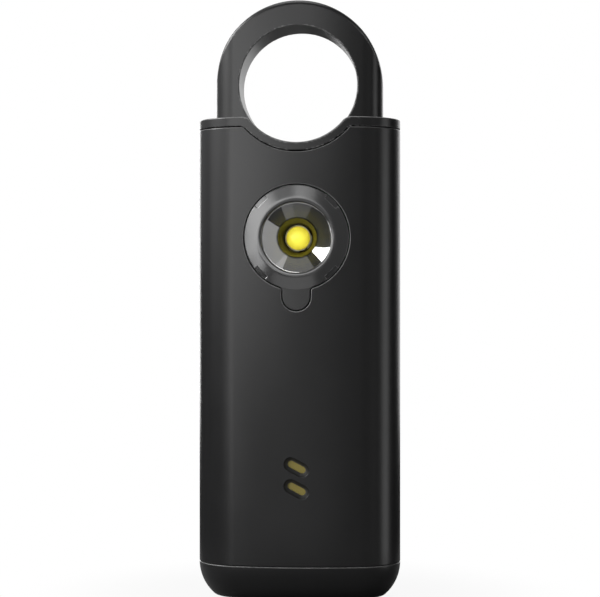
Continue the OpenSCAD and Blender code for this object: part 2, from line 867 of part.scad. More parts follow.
module boost_coil_core() {
  color([0.2, 0.2, 0.22])
  turned_to_front(part_row_z)
    translate([0, board_ahead]) {
      square([coil_hub_r, coil_h]);
      square([coil_r, coil_cheek]);
      translate([0, coil_h - coil_cheek]) square([coil_r, coil_cheek]);
    }
}

module boost_coil_winding() {
  color([0.75, 0.42, 0.2])
  turned_to_front(part_row_z)
    translate([coil_hub_r + thread_fit, board_ahead + coil_cheek + thread_fit])
      square([coil_r - coil_hub_r - bay_gap, coil_h - 2 * coil_cheek - 2 * thread_fit]);
}

// Glass reed switch behind the board, level with the magnet
module reed_switch() {
  wire_r = reed_r / 3;
  z0 = prong_tip_z + magnet_h / 2 - reed_l / 2;
  color([0.6, 0.75, 0.65, 0.6])
  translate([board_neck - reed_r - free_gap, board_back + reed_r, 0]) {
    rod(reed_r, z0, z0 + reed_l);
    rod(wire_r, z0 - reed_r, z0 + reed_l + reed_r);
  }
}

module battery_cell() {
  edge = battery_edge_r;
  color([0.75, 0.76, 0.78])
  translate([0, battery_y, battery_z])
    linear_extrude(battery_h) {
      translate([edge - battery_half_w, 0]) square([2 * (battery_half_w - edge), battery_t]);
      translate([-battery_half_w, edge]) square([2 * battery_half_w, battery_t - 2 * edge]);
      for (side = [-1, 1], y = [edge, battery_t - edge])
        translate([side * (battery_half_w - edge), y]) circle(edge);
    }
}

module battery_pad() {
  color([0.9, 0.9, 0.85])
  translate([pad_margin - battery_half_w, board_back, battery_z + pad_margin])
    cube([2 * (battery_half_w - pad_margin), pad_t, battery_h - 2 * pad_margin]);
}

// Wire from the top of the battery round a quarter bend to the back of the board
module battery_lead(x) {
  stub = 1.5 * lead_r;
  bend_r = pad_t + battery_t / 2 - stub;
  translate([x, board_back + stub, battery_top]) {
    translate([0, bend_r, 0]) cylinder(r = lead_r, h = stub);
    translate([0, 0, stub]) rotate([90, 0, 90])
      rotate_extrude(angle = 90) translate([bend_r, 0]) circle(lead_r);
    translate([0, 0, stub + bend_r]) rotate([90, 0, 0]) cylinder(r = lead_r, h = stub);
  }
}

module battery_lead_positive() {
  color([0.75, 0.1, 0.08]) battery_lead(-battery_half_w / 3);
}

module battery_lead_negative() {
  color([0.06, 0.06, 0.06]) battery_lead(battery_half_w / 3);
}

// Ring that stands on the board and closes the sounder against the back wall
module sounder_holder() {
  color([0.25, 0.25, 0.26])
  intersection() {
    case_prism(wall + snug, sounder_z - 2 * holder_r, sounder_z + 2 * holder_r);
    translate([0, 0, sounder_z])
      difference() {
        rod_y(holder_r, board_back, far);
        rod_y(ledge_in_r, board_back - 1, far + 1);
        rod_y(holder_r - holder_t, sounder_seat, far + 1);
        rod_y(holder_r - holder_t, board_back - 1, sounder_seat - sounder_ledge_t);
      }
  }
}

module sounder_plate() {
  color([0.85, 0.68, 0.3])
  translate([0, 0, sounder_z]) rod_y(sounder_r, sounder_seat, sounder_seat + sounder_t);
}

module sounder_ceramic() {
  color([0.9, 0.9, 0.88])
  translate([0, 0, sounder_z]) rod_y(ceramic_r, sounder_seat - ceramic_t, sounder_seat);
}

// One wire to the ceramic and one to the brass
module sounder_leads() {
  color([0.7, 0.1, 0.1]) {
    translate([0, 0, sounder_z + ceramic_r / 2]) rod_y(lead_r, board_back, sounder_seat - ceramic_t);
    translate([0, 0, sounder_z + (ceramic_r + ledge_in_r) / 2]) rod_y(lead_r, board_back, sounder_seat);
  }
}

// Charging socket

module charging_shell() {
  color([0.75, 0.76, 0.78])
  translate([0, port_y, port_recess])
    difference() {
      linear_extrude(board_z - port_recess) pill(port_w, port_t);
      translate([0, 0, -port_shell_t])
        linear_extrude(board_z - port_recess) pill(port_w - 2 * port_shell_t, port_t - 2 * port_shell_t);
    }
}

module charging_tongue() {
  tongue_w = 0.74 * port_w;
  tongue_t = 0.22 * port_t;
  mouth_gap = 0.8;
  color([0.1, 0.1, 0.1])
  translate([-tongue_w / 2, port_y - tongue_t / 2, port_recess + mouth_gap])
    cube([tongue_w, tongue_t, board_z - port_shell_t - port_recess - mouth_gap]);
}

body_sleeve();
base_cap();
base_seal();
inner_frame();
cap_screws();
pull_ring();
prong_seals();
trigger_magnet();
torch_bezel();
torch_lens();
torch_reflector();
torch_spring();
torch_light_base();
torch_light_package();
torch_light_dome();
switch_body();
switch_plunger();
signal_light_guide();
signal_lights();
circuit_board();
board_screws();
controller_chip();
board_capacitors();
boost_coil_core();
boost_coil_winding();
reed_switch();
battery_cell();
battery_pad();
battery_lead_positive();
battery_lead_negative();
sounder_holder();
sounder_plate();
sounder_ceramic();
sounder_leads();
charging_shell();
charging_tongue();
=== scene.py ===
import math
from functools import reduce

import bmesh
import bpy
import numpy as np
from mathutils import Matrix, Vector
from mathutils.geometry import delaunay_2d_cdt


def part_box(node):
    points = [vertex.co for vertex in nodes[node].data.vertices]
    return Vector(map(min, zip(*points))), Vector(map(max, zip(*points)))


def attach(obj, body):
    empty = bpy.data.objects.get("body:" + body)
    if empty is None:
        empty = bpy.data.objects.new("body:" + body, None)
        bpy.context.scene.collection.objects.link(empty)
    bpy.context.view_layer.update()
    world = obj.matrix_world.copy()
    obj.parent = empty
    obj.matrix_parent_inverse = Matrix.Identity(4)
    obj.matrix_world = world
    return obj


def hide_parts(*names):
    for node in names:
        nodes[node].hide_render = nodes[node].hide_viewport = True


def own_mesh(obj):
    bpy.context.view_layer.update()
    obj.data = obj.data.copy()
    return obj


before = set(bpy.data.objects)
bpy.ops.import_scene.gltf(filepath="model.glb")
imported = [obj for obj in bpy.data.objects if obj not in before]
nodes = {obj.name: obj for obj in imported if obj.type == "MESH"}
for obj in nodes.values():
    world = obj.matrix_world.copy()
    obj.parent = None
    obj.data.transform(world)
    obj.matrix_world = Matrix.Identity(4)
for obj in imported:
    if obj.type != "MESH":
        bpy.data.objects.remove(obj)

scene = bpy.context.scene
for spare in ("Cube", "Light", "Camera"):
    if spare in bpy.data.objects:
        bpy.data.objects.remove(bpy.data.objects[spare])
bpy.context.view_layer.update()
mm = 0.001
print("frame loaded:", len(nodes), "nodes")

# Sizes that the outer pieces share, in millimetres
alarm = {
    "halfWidth": 16.0,
    "halfDepth": 8.5,
    "crownRadius": 51.0,
    "wall": 1.5,
    "baseHeight": 5.4,
    "shoulder": 73.8,
    "seam": 0.2,
    "flange": 1.4,
    "holeRise": 5.3,
    "holeRadius": 9.3,
    "dipBand": 1.28,
    "torchDrop": 17.2,
    "fit": 0.1,
    "room": 0.4,  # round the case, for the grids of its pieces
}
flangeBottom = alarm["shoulder"] + alarm["seam"]
flangeTop = flangeBottom + alarm["flange"]
ringHeight = flangeTop + alarm["holeRise"]
dipRadius = alarm["holeRadius"] + alarm["dipBand"]
torchHeight = alarm["shoulder"] - alarm["torchDrop"]
innerInset = alarm["wall"] + alarm["fit"]


# Finishes

# Sets a node's inputs, each to a value or to a link from another node
def setInputs(tree, node, inputs):
    for name, value in inputs.items():
        if isinstance(value, bpy.types.NodeSocket):
            tree.links.new(value, node.inputs[name])
        else:
            node.inputs[name].default_value = value
    return node


def newNode(tree, kind, inputs=None, **settings):
    node = tree.nodes.new(kind)
    for name, value in settings.items():
        setattr(node, name, value)
    return setInputs(tree, node, inputs or {})


def mathNode(tree, operation, *values):
    return newNode(tree, "ShaderNodeMath", dict(enumerate(values)), operation=operation).outputs[0]


def vectorNode(tree, operation, *values):
    return newNode(tree, "ShaderNodeVectorMath", dict(enumerate(values)), operation=operation).outputs


def rampNode(tree, value, start, end, low, high, bend="SMOOTHSTEP"):
    limits = {"Value": value, "From Min": start, "From Max": end, "To Min": low, "To Max": high}
    return newNode(tree, "ShaderNodeMapRange", limits, interpolation_type=bend).outputs["Result"]


def noiseNode(tree, vector, scale, detail, rough):
    values = {"Vector": vector, "Scale": scale, "Detail": detail, "Roughness": rough}
    return newNode(tree, "ShaderNodeTexNoise", values).outputs["Fac"]


def mixColors(tree, share, a, b):
    return newNode(tree, "ShaderNodeMix", {"Factor": share, "A": a, "B": b}, data_type="RGBA").outputs["Result"]


def objectPlace(tree):
    return newNode(tree, "ShaderNodeTexCoord").outputs["Object"]


def addSockets(tree, sockets, way):
    ids = {}
    for label, kind in sockets.items():
        ids[label] = tree.interface.new_socket(label, in_out=way, socket_type="NodeSocket" + kind).identifier
    return ids


def newGroup(name, inputs, outputs):
    group = bpy.data.node_groups.new(name, "ShaderNodeTree")
    addSockets(group, inputs, "INPUT")
    addSockets(group, outputs, "OUTPUT")
    return group, newNode(group, "NodeGroupInput").outputs


# Surface with a height for the bump, and small changes of gloss and shade
def surfaceGroup(name, patternInput, patternKind, drawPatterns):
    group, given = newGroup(name, {
        "Vector": "Vector", patternInput: patternKind, "Rough": "Float", "Rough Change": "Float",
        "Dark": "Color", "Light": "Color",
    }, {"Height": "Float", "Roughness": "Float", "Color": "Color"})
    height, cloud = drawPatterns(group, given["Vector"], given[patternInput])
    spread = mathNode(group, "SUBTRACT", cloud, 0.5)
    newNode(group, "NodeGroupOutput", {
        "Height": height,
        "Roughness": mathNode(group, "MULTIPLY_ADD", spread, given["Rough Change"], given["Rough"]),
        "Color": mixColors(group, cloud, given["Dark"], given["Light"]),
    })
    return group


# Fine moulded grain, and broad clouds
def mouldPatterns(tree, place, grain):
    fine = noiseNode(tree, place, scale=grain, detail=3.0, rough=0.55)
    return fine, noiseNode(tree, place, scale=160.0, detail=4.0, rough=0.6)


# Fine lines of drawn or turned metal along one axis
def drawnPatterns(tree, place, stretch):
    stretched = vectorNode(tree, "MULTIPLY", place, stretch)[0]
    lines = noiseNode(tree, stretched, scale=1.0, detail=4.0, rough=0.6)
    return lines, lines


# Edges paler as wear from handling and as painted highlight on their roundings, broken up by a coarse noise
def edgeWearAndHighlightGroup():
    group, given = newGroup("edgeWear", {
        "Vector": "Vector", "Color": "Color", "Worn": "Color", "Edge": "Float", "Share": "Float",
    }, {"Color": "Color"})
    coarse = noiseNode(group, given["Vector"], scale=700.0, detail=3.0, rough=0.6)
    uneven = rampNode(group, coarse, start=0.25, end=0.6, low=0.6, high=1.0, bend="LINEAR")
    rubbedAndLit = mathNode(group, "MULTIPLY", uneven, given["Edge"])
    amount = mathNode(group, "MULTIPLY", rubbedAndLit, given["Share"])
    newNode(group, "NodeGroupOutput", {"Color": mixColors(group, amount, given["Color"], given["Worn"])})
    return group


mouldGrain = surfaceGroup("mouldGrain", "Grain", "Float", mouldPatterns)
drawnMetal = surfaceGroup("drawnMetal", "Stretch", "Vector", drawnPatterns)
edgeWear = edgeWearAndHighlightGroup()


def newMaterial(name):
    material = bpy.data.materials.new(name)
    material.use_nodes = True
    return material, material.node_tree, material.node_tree.nodes["Principled BSDF"]


def newFinish(name, group, groupValues, bump, shaderValues):
    material, tree, shader = newMaterial(name)
    groupValues["Vector"] = objectPlace(tree)
    surface = newNode(tree, "ShaderNodeGroup", groupValues, node_tree=group).outputs
    strength, distance = bump
    bumped = newNode(tree, "ShaderNodeBump", {
        "Strength": strength, "Distance": distance * mm, "Height": surface["Height"],
    })
    setInputs(tree, shader, {
        **shaderValues, "Base Color": surface["Color"], "Roughness": surface["Roughness"],
        "Normal": bumped.outputs["Normal"],
    })
    return material


def grey(value, tint=0.0):
    return (value, value, value * (1 + tint), 1)


def plastic(name, dark, light, rough, change=0.05, grain=5200.0, bump=(0.1, 0.02), **shaderValues):
    values = {"Grain": grain, "Rough": rough, "Rough Change": change, "Dark": dark, "Light": light}
    return newFinish(name, mouldGrain, values, bump, shaderValues)


def metal(name, dark, light, rough, change=0.15, stretch=(9000.0, 9000.0, 250.0), bump=(0.05, 0.01)):
    values = {"Stretch": stretch, "Rough": rough, "Rough Change": change, "Dark": dark, "Light": light}
    return newFinish(name, drawnMetal, values, bump, {"Metallic": 1.0})


def glass(name, dark, light, rough, change, bend):
    clear = {"Transmission Weight": 1.0, "IOR": bend}
    return plastic(name, dark, light, rough, change=change, bump=(0.0, 0.01), **clear)


blackDark, blackLight = grey(0.008, 0.03), grey(0.011, 0.03)
caseGloss = {"Specular IOR Level": 0.3}
bezelGloss = {**caseGloss, "Coat Roughness": 0.17, "Coat IOR": 1.62}
finish = {
    "case": plastic("blackCasePlastic", blackDark, blackLight, 0.3, bump=(0.06, 0.02), **caseGloss),
    "bezel": plastic("blackBezelGloss", blackDark, blackLight, 0.3, bump=(0.02, 0.01), **bezelGloss),
    "frame": plastic("greyFramePlastic", grey(0.05), grey(0.07), 0.5),
    "seal": plastic("blackSealRubber", grey(0.015), grey(0.03), 0.65, bump=(0.2, 0.02)),
    "prongSeal": plastic("redSealRubber", (0.22, 0.02, 0.015, 1), (0.32, 0.03, 0.02, 1), 0.5, bump=(0.15, 0.02)),
    "foam": plastic("paleFoam", (0.55, 0.55, 0.5, 1), (0.72, 0.72, 0.66, 1), 0.9, grain=2600.0, bump=(0.6, 0.1)),
    "board": plastic("greenBoardLacquer", (0.008, 0.09, 0.03, 1), (0.012, 0.14, 0.05, 1), 0.3, grain=1500.0),
    "chip": plastic("blackChipResin", grey(0.02), grey(0.035), 0.6, bump=(0.2, 0.02)),
    "switch": plastic("blackSwitchResin", grey(0.03), grey(0.045), 0.5),
    "plunger": plastic("creamPlunger", (0.5, 0.44, 0.34, 1), (0.62, 0.56, 0.45, 1), 0.45),
    "capacitor": plastic("tanCeramic", (0.34, 0.22, 0.12, 1), (0.46, 0.32, 0.2, 1), 0.5),
    "ferrite": plastic("darkFerrite", grey(0.04), grey(0.07), 0.45, bump=(0.3, 0.03)),
    "wireRed": plastic("redWireSleeve", (0.4, 0.02, 0.015, 1), (0.5, 0.03, 0.02, 1), 0.4),
    "wireBlack": plastic("blackWireSleeve", grey(0.015), grey(0.025), 0.4),
    "ceramic": plastic("silveredCeramic", (0.6, 0.6, 0.57, 1), (0.75, 0.75, 0.71, 1), 0.4),
    "tongue": plastic("blackTongue", grey(0.012), grey(0.02), 0.45),
    "lightPackage": plastic("whiteLightPackage", (0.7, 0.7, 0.66, 1), (0.8, 0.8, 0.76, 1), 0.35),
    # painted glow: the dome is given an emission so that it shows bright yellow
    "lightDome": plastic("yellowLightDome", (0.95, 0.82, 0.06, 1), (1.0, 0.92, 0.1, 1), 0.3,
                         **{"Emission Strength": 0.6}),
    "signalLight": plastic("paleSignalLight", (0.75, 0.7, 0.3, 1), (0.85, 0.8, 0.4, 1), 0.35),
    "guide": plastic("yellowLightGuide", (0.2, 0.165, 0.02, 1), (0.27, 0.21, 0.03, 1), 0.35, grain=2200.0),
    "steel": metal("platedSteel", grey(0.38, 0.03), grey(0.58, 0.03), 0.28),
    "nickel": metal("nickelPlate", grey(0.5, 0.02), grey(0.62, 0.02), 0.18),
    "brass": metal("rolledBrass", (0.52, 0.35, 0.1, 1), (0.66, 0.47, 0.17, 1), 0.3,
                   stretch=(300.0, 9000.0, 9000.0)),
    "copper": metal("copperWire", (0.5, 0.2, 0.08, 1), (0.64, 0.29, 0.13, 1), 0.3,
                    stretch=(400.0, 14000.0, 400.0)),
    "post": metal("goldenPost", (0.55, 0.4, 0.2, 1), (0.66, 0.5, 0.28, 1), 0.3),
    "foil": metal("batteryFoil", grey(0.42, 0.02), grey(0.55, 0.02), 0.38, stretch=(2600.0, 2600.0, 600.0)),
    "mirror": metal("mirrorReflector", grey(0.8), grey(0.86), 0.03, change=0.02, stretch=(900.0, 900.0, 900.0),
                    bump=(0.0, 0.01)),
    "clear": glass("clearLens", grey(0.97), grey(0.99), 0.02, 0.01, 1.2),
    "reedGlass": glass("paleGreenGlass", (0.62, 0.8, 0.7, 1), (0.7, 0.86, 0.76, 1), 0.05, 0.02, 1.49),
}


def finishShader(look):
    tree = finish[look].node_tree
    return tree, tree.nodes["Principled BSDF"]


# Distance from the torch's axis, as a share between two distances
def torchRamp(tree, start, end, low, high):
    flat = vectorNode(tree, "MULTIPLY_ADD", objectPlace(tree), (1, 0, 1), (0, 0, -torchHeight * mm))[0]
    reach = vectorNode(tree, "LENGTH", flat)["Value"]
    return rampNode(tree, reach, start * mm, end * mm, low, high)


# Polished ring on the bezel, which leaves the thumb tab as matt as the case
def polishRing(look, start, end):
    tree, shader = finishShader(look)
    setInputs(tree, shader, {"Coat Weight": torchRamp(tree, start, end, 1.0, 0.0)})


# Paler edges, as wear and as painted highlight, where a piece carries the attribute "edge"
def paintWearAndHighlightOnEdges(look, worn, share):
    tree, shader = finishShader(look)
    wearAndHighlightNode = newNode(tree, "ShaderNodeGroup", {
        "Vector": objectPlace(tree), "Worn": worn, "Share": share,
        "Edge": newNode(tree, "ShaderNodeAttribute", attribute_name="edge").outputs["Fac"],
        "Color": shader.inputs["Base Color"].links[0].from_socket,
    }, node_tree=edgeWear)
    setInputs(tree, shader, {"Base Color": wearAndHighlightNode.outputs["Color"]})


# Painted light and shade: another colour inside the start of a ring round the torch, or outside it where the end
# is nearer
def paintRingLightAndShade(look, start, end, color):
    tree, shader = finishShader(look)
    plain = shader.inputs["Base Color"].links[0].from_socket
    shade = mixColors(tree, torchRamp(tree, start, end, 0.0, 1.0), color, plain)
    setInputs(tree, shader, {"Base Color": shade})


# Painted glow of the light's dome, which falls off towards its rim as painted shade
def domeGlow(look, start, end, middle, rim):
    tree, shader = finishShader(look)
    glow = mixColors(tree, torchRamp(tree, start, end, 0.0, 1.0), middle, rim)
    setInputs(tree, shader, {"Emission Color": glow})


# Colour and share of the paler edges, which are wear and painted highlight, and the rings round the torch with
# their colours
wearAndHighlightColors = {"case": (grey(0.17), 0.9), "bezel": (grey(0.22), 0.6)}
rings = {
    "polish": (7.95, 8.3),
    # painted light: the thumb tab, and the edge where the coat fades, painted paler than the case
    "tab": (8.3, 7.95, grey(0.031)),
    # painted shade: the reflector's collar is painted dark olive
    "collar": (3.02, 3.4, (0.025, 0.024, 0.015, 1)),
    "glow": (0.7, 1.85, (1.0, 0.92, 0.07, 1), (0.55, 0.42, 0.02, 1)),
}
for look, amount in wearAndHighlightColors.items():
    paintWearAndHighlightOnEdges(look, *amount)
polishRing("bezel", *rings["polish"])
paintRingLightAndShade("bezel", *rings["tab"])
paintRingLightAndShade("mirror", *rings["collar"])
domeGlow("lightDome", *rings["glow"])
print("finishes made:", len(finish))


# Shapes

def makeOval(halfWidth, halfDepth, crownRadius):
    sideRadius = (2 * crownRadius * halfDepth - halfWidth**2 - halfDepth**2) / (2 * (crownRadius - halfWidth))
    sideX = halfWidth - sideRadius
    turn = math.asin(sideX / (crownRadius - sideRadius))
    crownLength = crownRadius * turn
    sideLength = sideRadius * (math.pi - 2 * turn)
    return {
        "crownRadius": crownRadius, "crownY": crownRadius - halfDepth, "crownLength": crownLength,
        "sideRadius": sideRadius, "sideX": sideX, "turn": turn,
        "length": 4 * crownLength + 2 * sideLength,
    }


# Place and outward direction at a distance along the outline, from the middle of the front towards +X
def ovalAt(oval, along):
    half = oval["length"] / 2
    along = (np.asarray(along, float) + half) % (2 * half) - half
    side = np.where(along < 0, -1.0, 1.0)
    distance = np.abs(along)
    front = distance <= oval["crownLength"]
    back = distance >= half - oval["crownLength"]
    angle = np.where(front, distance / oval["crownRadius"], math.pi - (half - distance) / oval["crownRadius"])
    angle = np.where(front | back, angle, oval["turn"] + (distance - oval["crownLength"]) / oval["sideRadius"])
    radius = np.where(front | back, oval["crownRadius"], oval["sideRadius"])
    x = np.where(front | back, 0.0, oval["sideX"]) + radius * np.sin(angle)
    y = np.where(front, oval["crownY"], np.where(back, -oval["crownY"], 0.0)) - radius * np.cos(angle)
    return side * x, y, side * np.sin(angle), -np.cos(angle)


# Distance outside an oval, negative inside
def ovalDistance(oval, x, y):
    x, y = np.abs(x), np.abs(y)
    crownGap = np.hypot(x, y + oval["crownY"]) - oval["crownRadius"]
    sideGap = np.hypot(x - oval["sideX"], y) - oval["sideRadius"]
    onCrown = x * math.cos(oval["turn"]) < (y + oval["crownY"]) * math.sin(oval["turn"])
    return np.where(onCrown, crownGap, sideGap)


# What lies in all shapes, or in any of them
def within(*shapes):
    return reduce(np.maximum, shapes)


def either(*shapes):
    return reduce(np.minimum, shapes)


# What lies in both shapes, with the edge between them rounded
def roundedCut(a, b, radius):
    return np.minimum(np.maximum(a, b), -radius) + np.hypot(np.maximum(a + radius, 0), np.maximum(b + radius, 0))


# What lies in either shape, with the corner between them filled
def filledJoin(a, b, radius):
    return np.maximum(np.minimum(a, b), radius) - np.hypot(np.maximum(radius - a, 0), np.maximum(radius - b, 0))


def pillDistance(u, v, length, width):
    return np.hypot(np.maximum(np.abs(u) - (length - width) / 2, 0), v) - width / 2


def fieldSlope(field, p, reach=0.01):
    slope = np.empty_like(p)
    for axis in range(3):
        step = np.zeros(3)
        step[axis] = reach
        slope[:, axis] = (field(*(p + step).T) - field(*(p - step).T)) / (2 * reach)
    return slope


# Share of edge at each point: 1 where the field bends outwards as sharply as a small rounding
def fieldEdges(field, p, reach=0.05, flat=1.2, sharp=3.2):
    bend = -6.0 * field(*p.T)
    for axis in range(3):
        step = np.zeros(3)
        step[axis] = reach
        bend += field(*(p + step).T) + field(*(p - step).T)
    share = np.clip((bend / reach**2 - flat) / (sharp - flat), 0.0, 1.0)
    return share * share * (3 - 2 * share)


# Skin of a shape given by its distance field: one point in each cell that the surface crosses,
# pulled onto the surface, and one face across each crossed grid edge
def skinOfField(field, low, high, step, pulls=4, leastSlope=0.05):
    axes = [np.arange(a, b + step, step) for a, b in zip(low, high)]
    values = field(*np.meshgrid(*axes, indexing="ij"))
    inside = values < 0
    corners = [(i, j, k) for i in (0, 1) for j in (0, 1) for k in (0, 1)]
    size = [len(a) - 1 for a in axes]
    count = sum(inside[i:i + size[0], j:j + size[1], k:k + size[2]].astype(np.int8) for i, j, k in corners)
    cells = np.argwhere((count > 0) & (count < 8))
    total = np.zeros((len(cells), 3))
    crossings = np.zeros(len(cells))
    for a in corners:
        for axis in range(3):
            if a[axis]:
                continue
            b = list(a)
            b[axis] = 1
            va = values[tuple((cells + a).T)]
            vb = values[tuple((cells + b).T)]
            crossed = (va < 0) != (vb < 0)
            share = np.where(crossed, va / np.where(crossed, va - vb, 1), 0)
            place = cells + np.array(a, float)
            place[:, axis] += share
            total += place * crossed[:, None]
            crossings += crossed
    points = np.array(low) + step * total / crossings[:, None]
    for _ in range(pulls):
        slope = fieldSlope(field, points)
        move = field(*points.T)[:, None] * slope / np.maximum((slope**2).sum(1), leastSlope)[:, None]
        points -= np.clip(move, -0.5 * step, 0.5 * step)
    normals = fieldSlope(field, points)
    normals /= np.linalg.norm(normals, axis=1)[:, None]
    index = np.full(size, -1)
    index[tuple(cells.T)] = np.arange(len(cells))
    faces = []
    for axis in range(3):
        u, v = (axis + 1) % 3, (axis + 2) % 3
        first = [slice(1, n) for n in size]
        first[axis] = slice(0, size[axis])
        second = list(first)
        second[axis] = slice(1, size[axis] + 1)
        here, there = inside[tuple(first)], inside[tuple(second)]
        spots = np.argwhere(here != there)
        leaving = here[tuple(spots.T)]
        start = spots + 1
        start[:, axis] -= 1
        quad = []
        for du, dv in ((-1, -1), (0, -1), (0, 0), (-1, 0)):
            cell = start.copy()
            cell[:, u] += du
            cell[:, v] += dv
            quad.append(index[tuple(cell.T)])
        quad = np.stack(quad, 1)
        faces.append(np.where(leaving[:, None], quad, quad[:, ::-1]))
    return points, np.concatenate(faces), normals, fieldEdges(field, points)


def addObject(name, data):
    thing = bpy.data.objects.new(name, data)
    scene.collection.objects.link(thing)
    return thing


def newPiece(name, points, faces, material, normals=None, edges=None, cornerNormals=None):
    mesh = bpy.data.meshes.new(name)
    mesh.from_pydata((np.asarray(points) * mm).tolist(), [], [list(map(int, f)) for f in faces])
    mesh.shade_smooth()
    if normals is not None:
        mesh.normals_split_custom_set_from_vertices(np.asarray(normals).tolist())
    if cornerNormals is not None:
        mesh.normals_split_custom_set(np.asarray(cornerNormals).tolist())
    if edges is not None:
        mesh.attributes.new("edge", "FLOAT", "POINT").data.foreach_set("value", np.asarray(edges, np.float32))
    mesh.materials.append(material)
    return addObject(name, mesh)


# Piece that is the skin of a field, with its edges paled as wear and painted highlight, by a share that may
# change over it
def fieldPiece(name, field, room, size, material, wearAndHighlightShare=None):
    points, faces, normals, edges = skinOfField(field, *room, size["step"])
    if wearAndHighlightShare:
        edges = edges * wearAndHighlightShare(points)
    return newPiece(name, points, faces, material, normals, edges)


def changeMesh(mesh, change):
    work = bmesh.new()
    work.from_mesh(mesh)
    change(work)
    work.to_mesh(mesh)
    work.free()


def shadeSmooth(mesh, sharp):
    mesh.shade_smooth()
    mesh.set_sharp_from_angle(angle=math.radians(sharp))


def dress(piece, body, slot, *replaced):
    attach(piece, body)
    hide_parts(*replaced)
    print("made", piece.name, len(piece.data.polygons), "faces")


# Copy of a CAD node with its loose triangles joined and its round faces shaded smooth
def smoothCopy(name, node, body, slot, material, sharp=32, weld=0.0005):
    mesh = nodes[node].data.copy()
    if "custom_normal" in mesh.attributes:
        mesh.attributes.remove(mesh.attributes["custom_normal"])
    changeMesh(mesh, lambda work: bmesh.ops.remove_doubles(work, verts=work.verts, dist=weld * mm))
    shadeSmooth(mesh, sharp)
    mesh.materials.clear()
    mesh.materials.append(material)
    dress(addObject(name, mesh), body, slot, node)


bodyOval = makeOval(alarm["halfWidth"], alarm["halfDepth"], alarm["crownRadius"])


def crownHeight(x):
    reach = np.minimum(np.abs(x), 20.0)  # kept within the crown's circle
    return np.sqrt(alarm["crownRadius"]**2 - reach**2) - bodyOval["crownY"]


# Corners of a grid round the case between two heights
def caseRoom(low, high):
    x, y = alarm["halfWidth"] + alarm["room"], alarm["halfDepth"] + alarm["room"]
    return (-x, -y, low), (x, y, high)


# Pull ring with its flange, plug and prongs
pullRing = {
    "band": 4.0,
    "depth": 10.0,
    "archEdge": 0.85,
    "holeEdge": 0.14,
    "flangeEdge": 0.2,
    "underEdge": 0.06,
    "corner": 0.35,
    "scoopCorner": 0.7,
    "overlap": 0.4,
    "plugDepth": 1.7,
    "plugGap": 0.3,
    "plugEdge": 0.25,
    "prongRadius": 2.0,
    "prongX": 11.23,
    "prongLength": 14.0,
    "prongEdge": 0.35,
    "sealThickness": 0.8,
    "sealRise": 0.09,
    "sealShare": 0.99,
    "sealPoints": 64,
    "beadPoints": 20,
    "seamFill": 0.08,
    "magnetRadius": 1.22,
    "magnetLength": 3.0,
    "roomBelow": 0.5,
    "roomAbove": 0.8,
    "step": 0.19,
}
ringRadius = alarm["holeRadius"] + pullRing["band"]
ringOval = makeOval(ringRadius, pullRing["depth"] / 2, alarm["crownRadius"])
plugBottom = flangeBottom - pullRing["plugDepth"]
prongTip = plugBottom - pullRing["prongLength"]
sealHeight = plugBottom - pullRing["prongLength"] / 2


def ringField(x, y, z):
    size = pullRing
    reach = np.hypot(x, z - ringHeight)
    # arch: its edge fades out where the arch runs into the legs
    rise = np.clip((z - ringHeight) / ringRadius, 0.0, 1.0)
    outer = np.where(z > ringHeight, reach - ringRadius, np.abs(x) - ringRadius)
    arch = roundedCut(ovalDistance(ringOval, x, y), outer, size["archEdge"] * rise)
    arch = roundedCut(arch, alarm["holeRadius"] - reach, size["holeEdge"])
    arch = within(arch, flangeBottom + size["overlap"] - z)
    # flange between the dip below and the scoop above
    fill = size["seamFill"]
    under = filledJoin(flangeBottom - fill - z, reach - dipRadius - fill, size["corner"] + alarm["seam"])
    over = filledJoin(flangeTop - z, reach - alarm["holeRadius"], size["scoopCorner"])
    outline = ovalDistance(bodyOval, x, y)
    flange = roundedCut(roundedCut(outline, under, size["underEdge"]), -over, size["flangeEdge"])
    plug = roundedCut(outline + innerInset + alarm["fit"], plugBottom - z, size["plugEdge"])
    plug = within(plug, z - flangeBottom - size["overlap"], dipRadius + size["plugGap"] - reach)
    # prongs with the grooves of their seals and the magnet's pocket
    around = np.hypot(np.abs(x) - size["prongX"], y)
    prong = roundedCut(around - size["prongRadius"], prongTip - z, size["prongEdge"])
    grooveFloor = size["prongRadius"] + size["sealRise"] - size["sealThickness"]
    groove = within(np.abs(z - sealHeight) - size["sealThickness"] / 2, grooveFloor - around)
    pocket = within(np.hypot(x - size["prongX"], y) - size["magnetRadius"], z - prongTip - size["magnetLength"])
    prong = within(prong, z - flangeBottom, -groove, -pocket)
    return either(arch, flange, plug, prong)


ringRoom = caseRoom(prongTip - pullRing["roomBelow"], ringHeight + ringRadius + pullRing["roomAbove"])
ringPiece = fieldPiece("pullRing", ringField, ringRoom, pullRing, finish["case"])
dress(ringPiece, "pull_top", "case_plastic", "pull_ring")


# Base cap: a bowl that curls in below the seam, with the spigot inside the sleeve
baseCap = {
    "curl": 6.9,
    "bottomEdge": 0.22,
    "seamEdge": 0.13,
    "floor": 2.2,
    "spigotHeight": 3.0,
    "spigotWall": 1.2,
    "spigotEdge": 0.2,
    "sealRise": 1.0,
    "sealHeight": 0.8,
    "screwX": 9.53,
    "screwHole": 0.95,
    "headHole": 1.75,
    "headDepth": 1.1,
    "portWidth": 9.3,
    "portDepth": 3.6,
    "portY": -0.4,
    "holeEdge": 0.15,
    "roomBelow": 0.3,
    "roomAbove": 0.5,
    "step": 0.16,
}
spigotTop = alarm["baseHeight"] + baseCap["spigotHeight"]


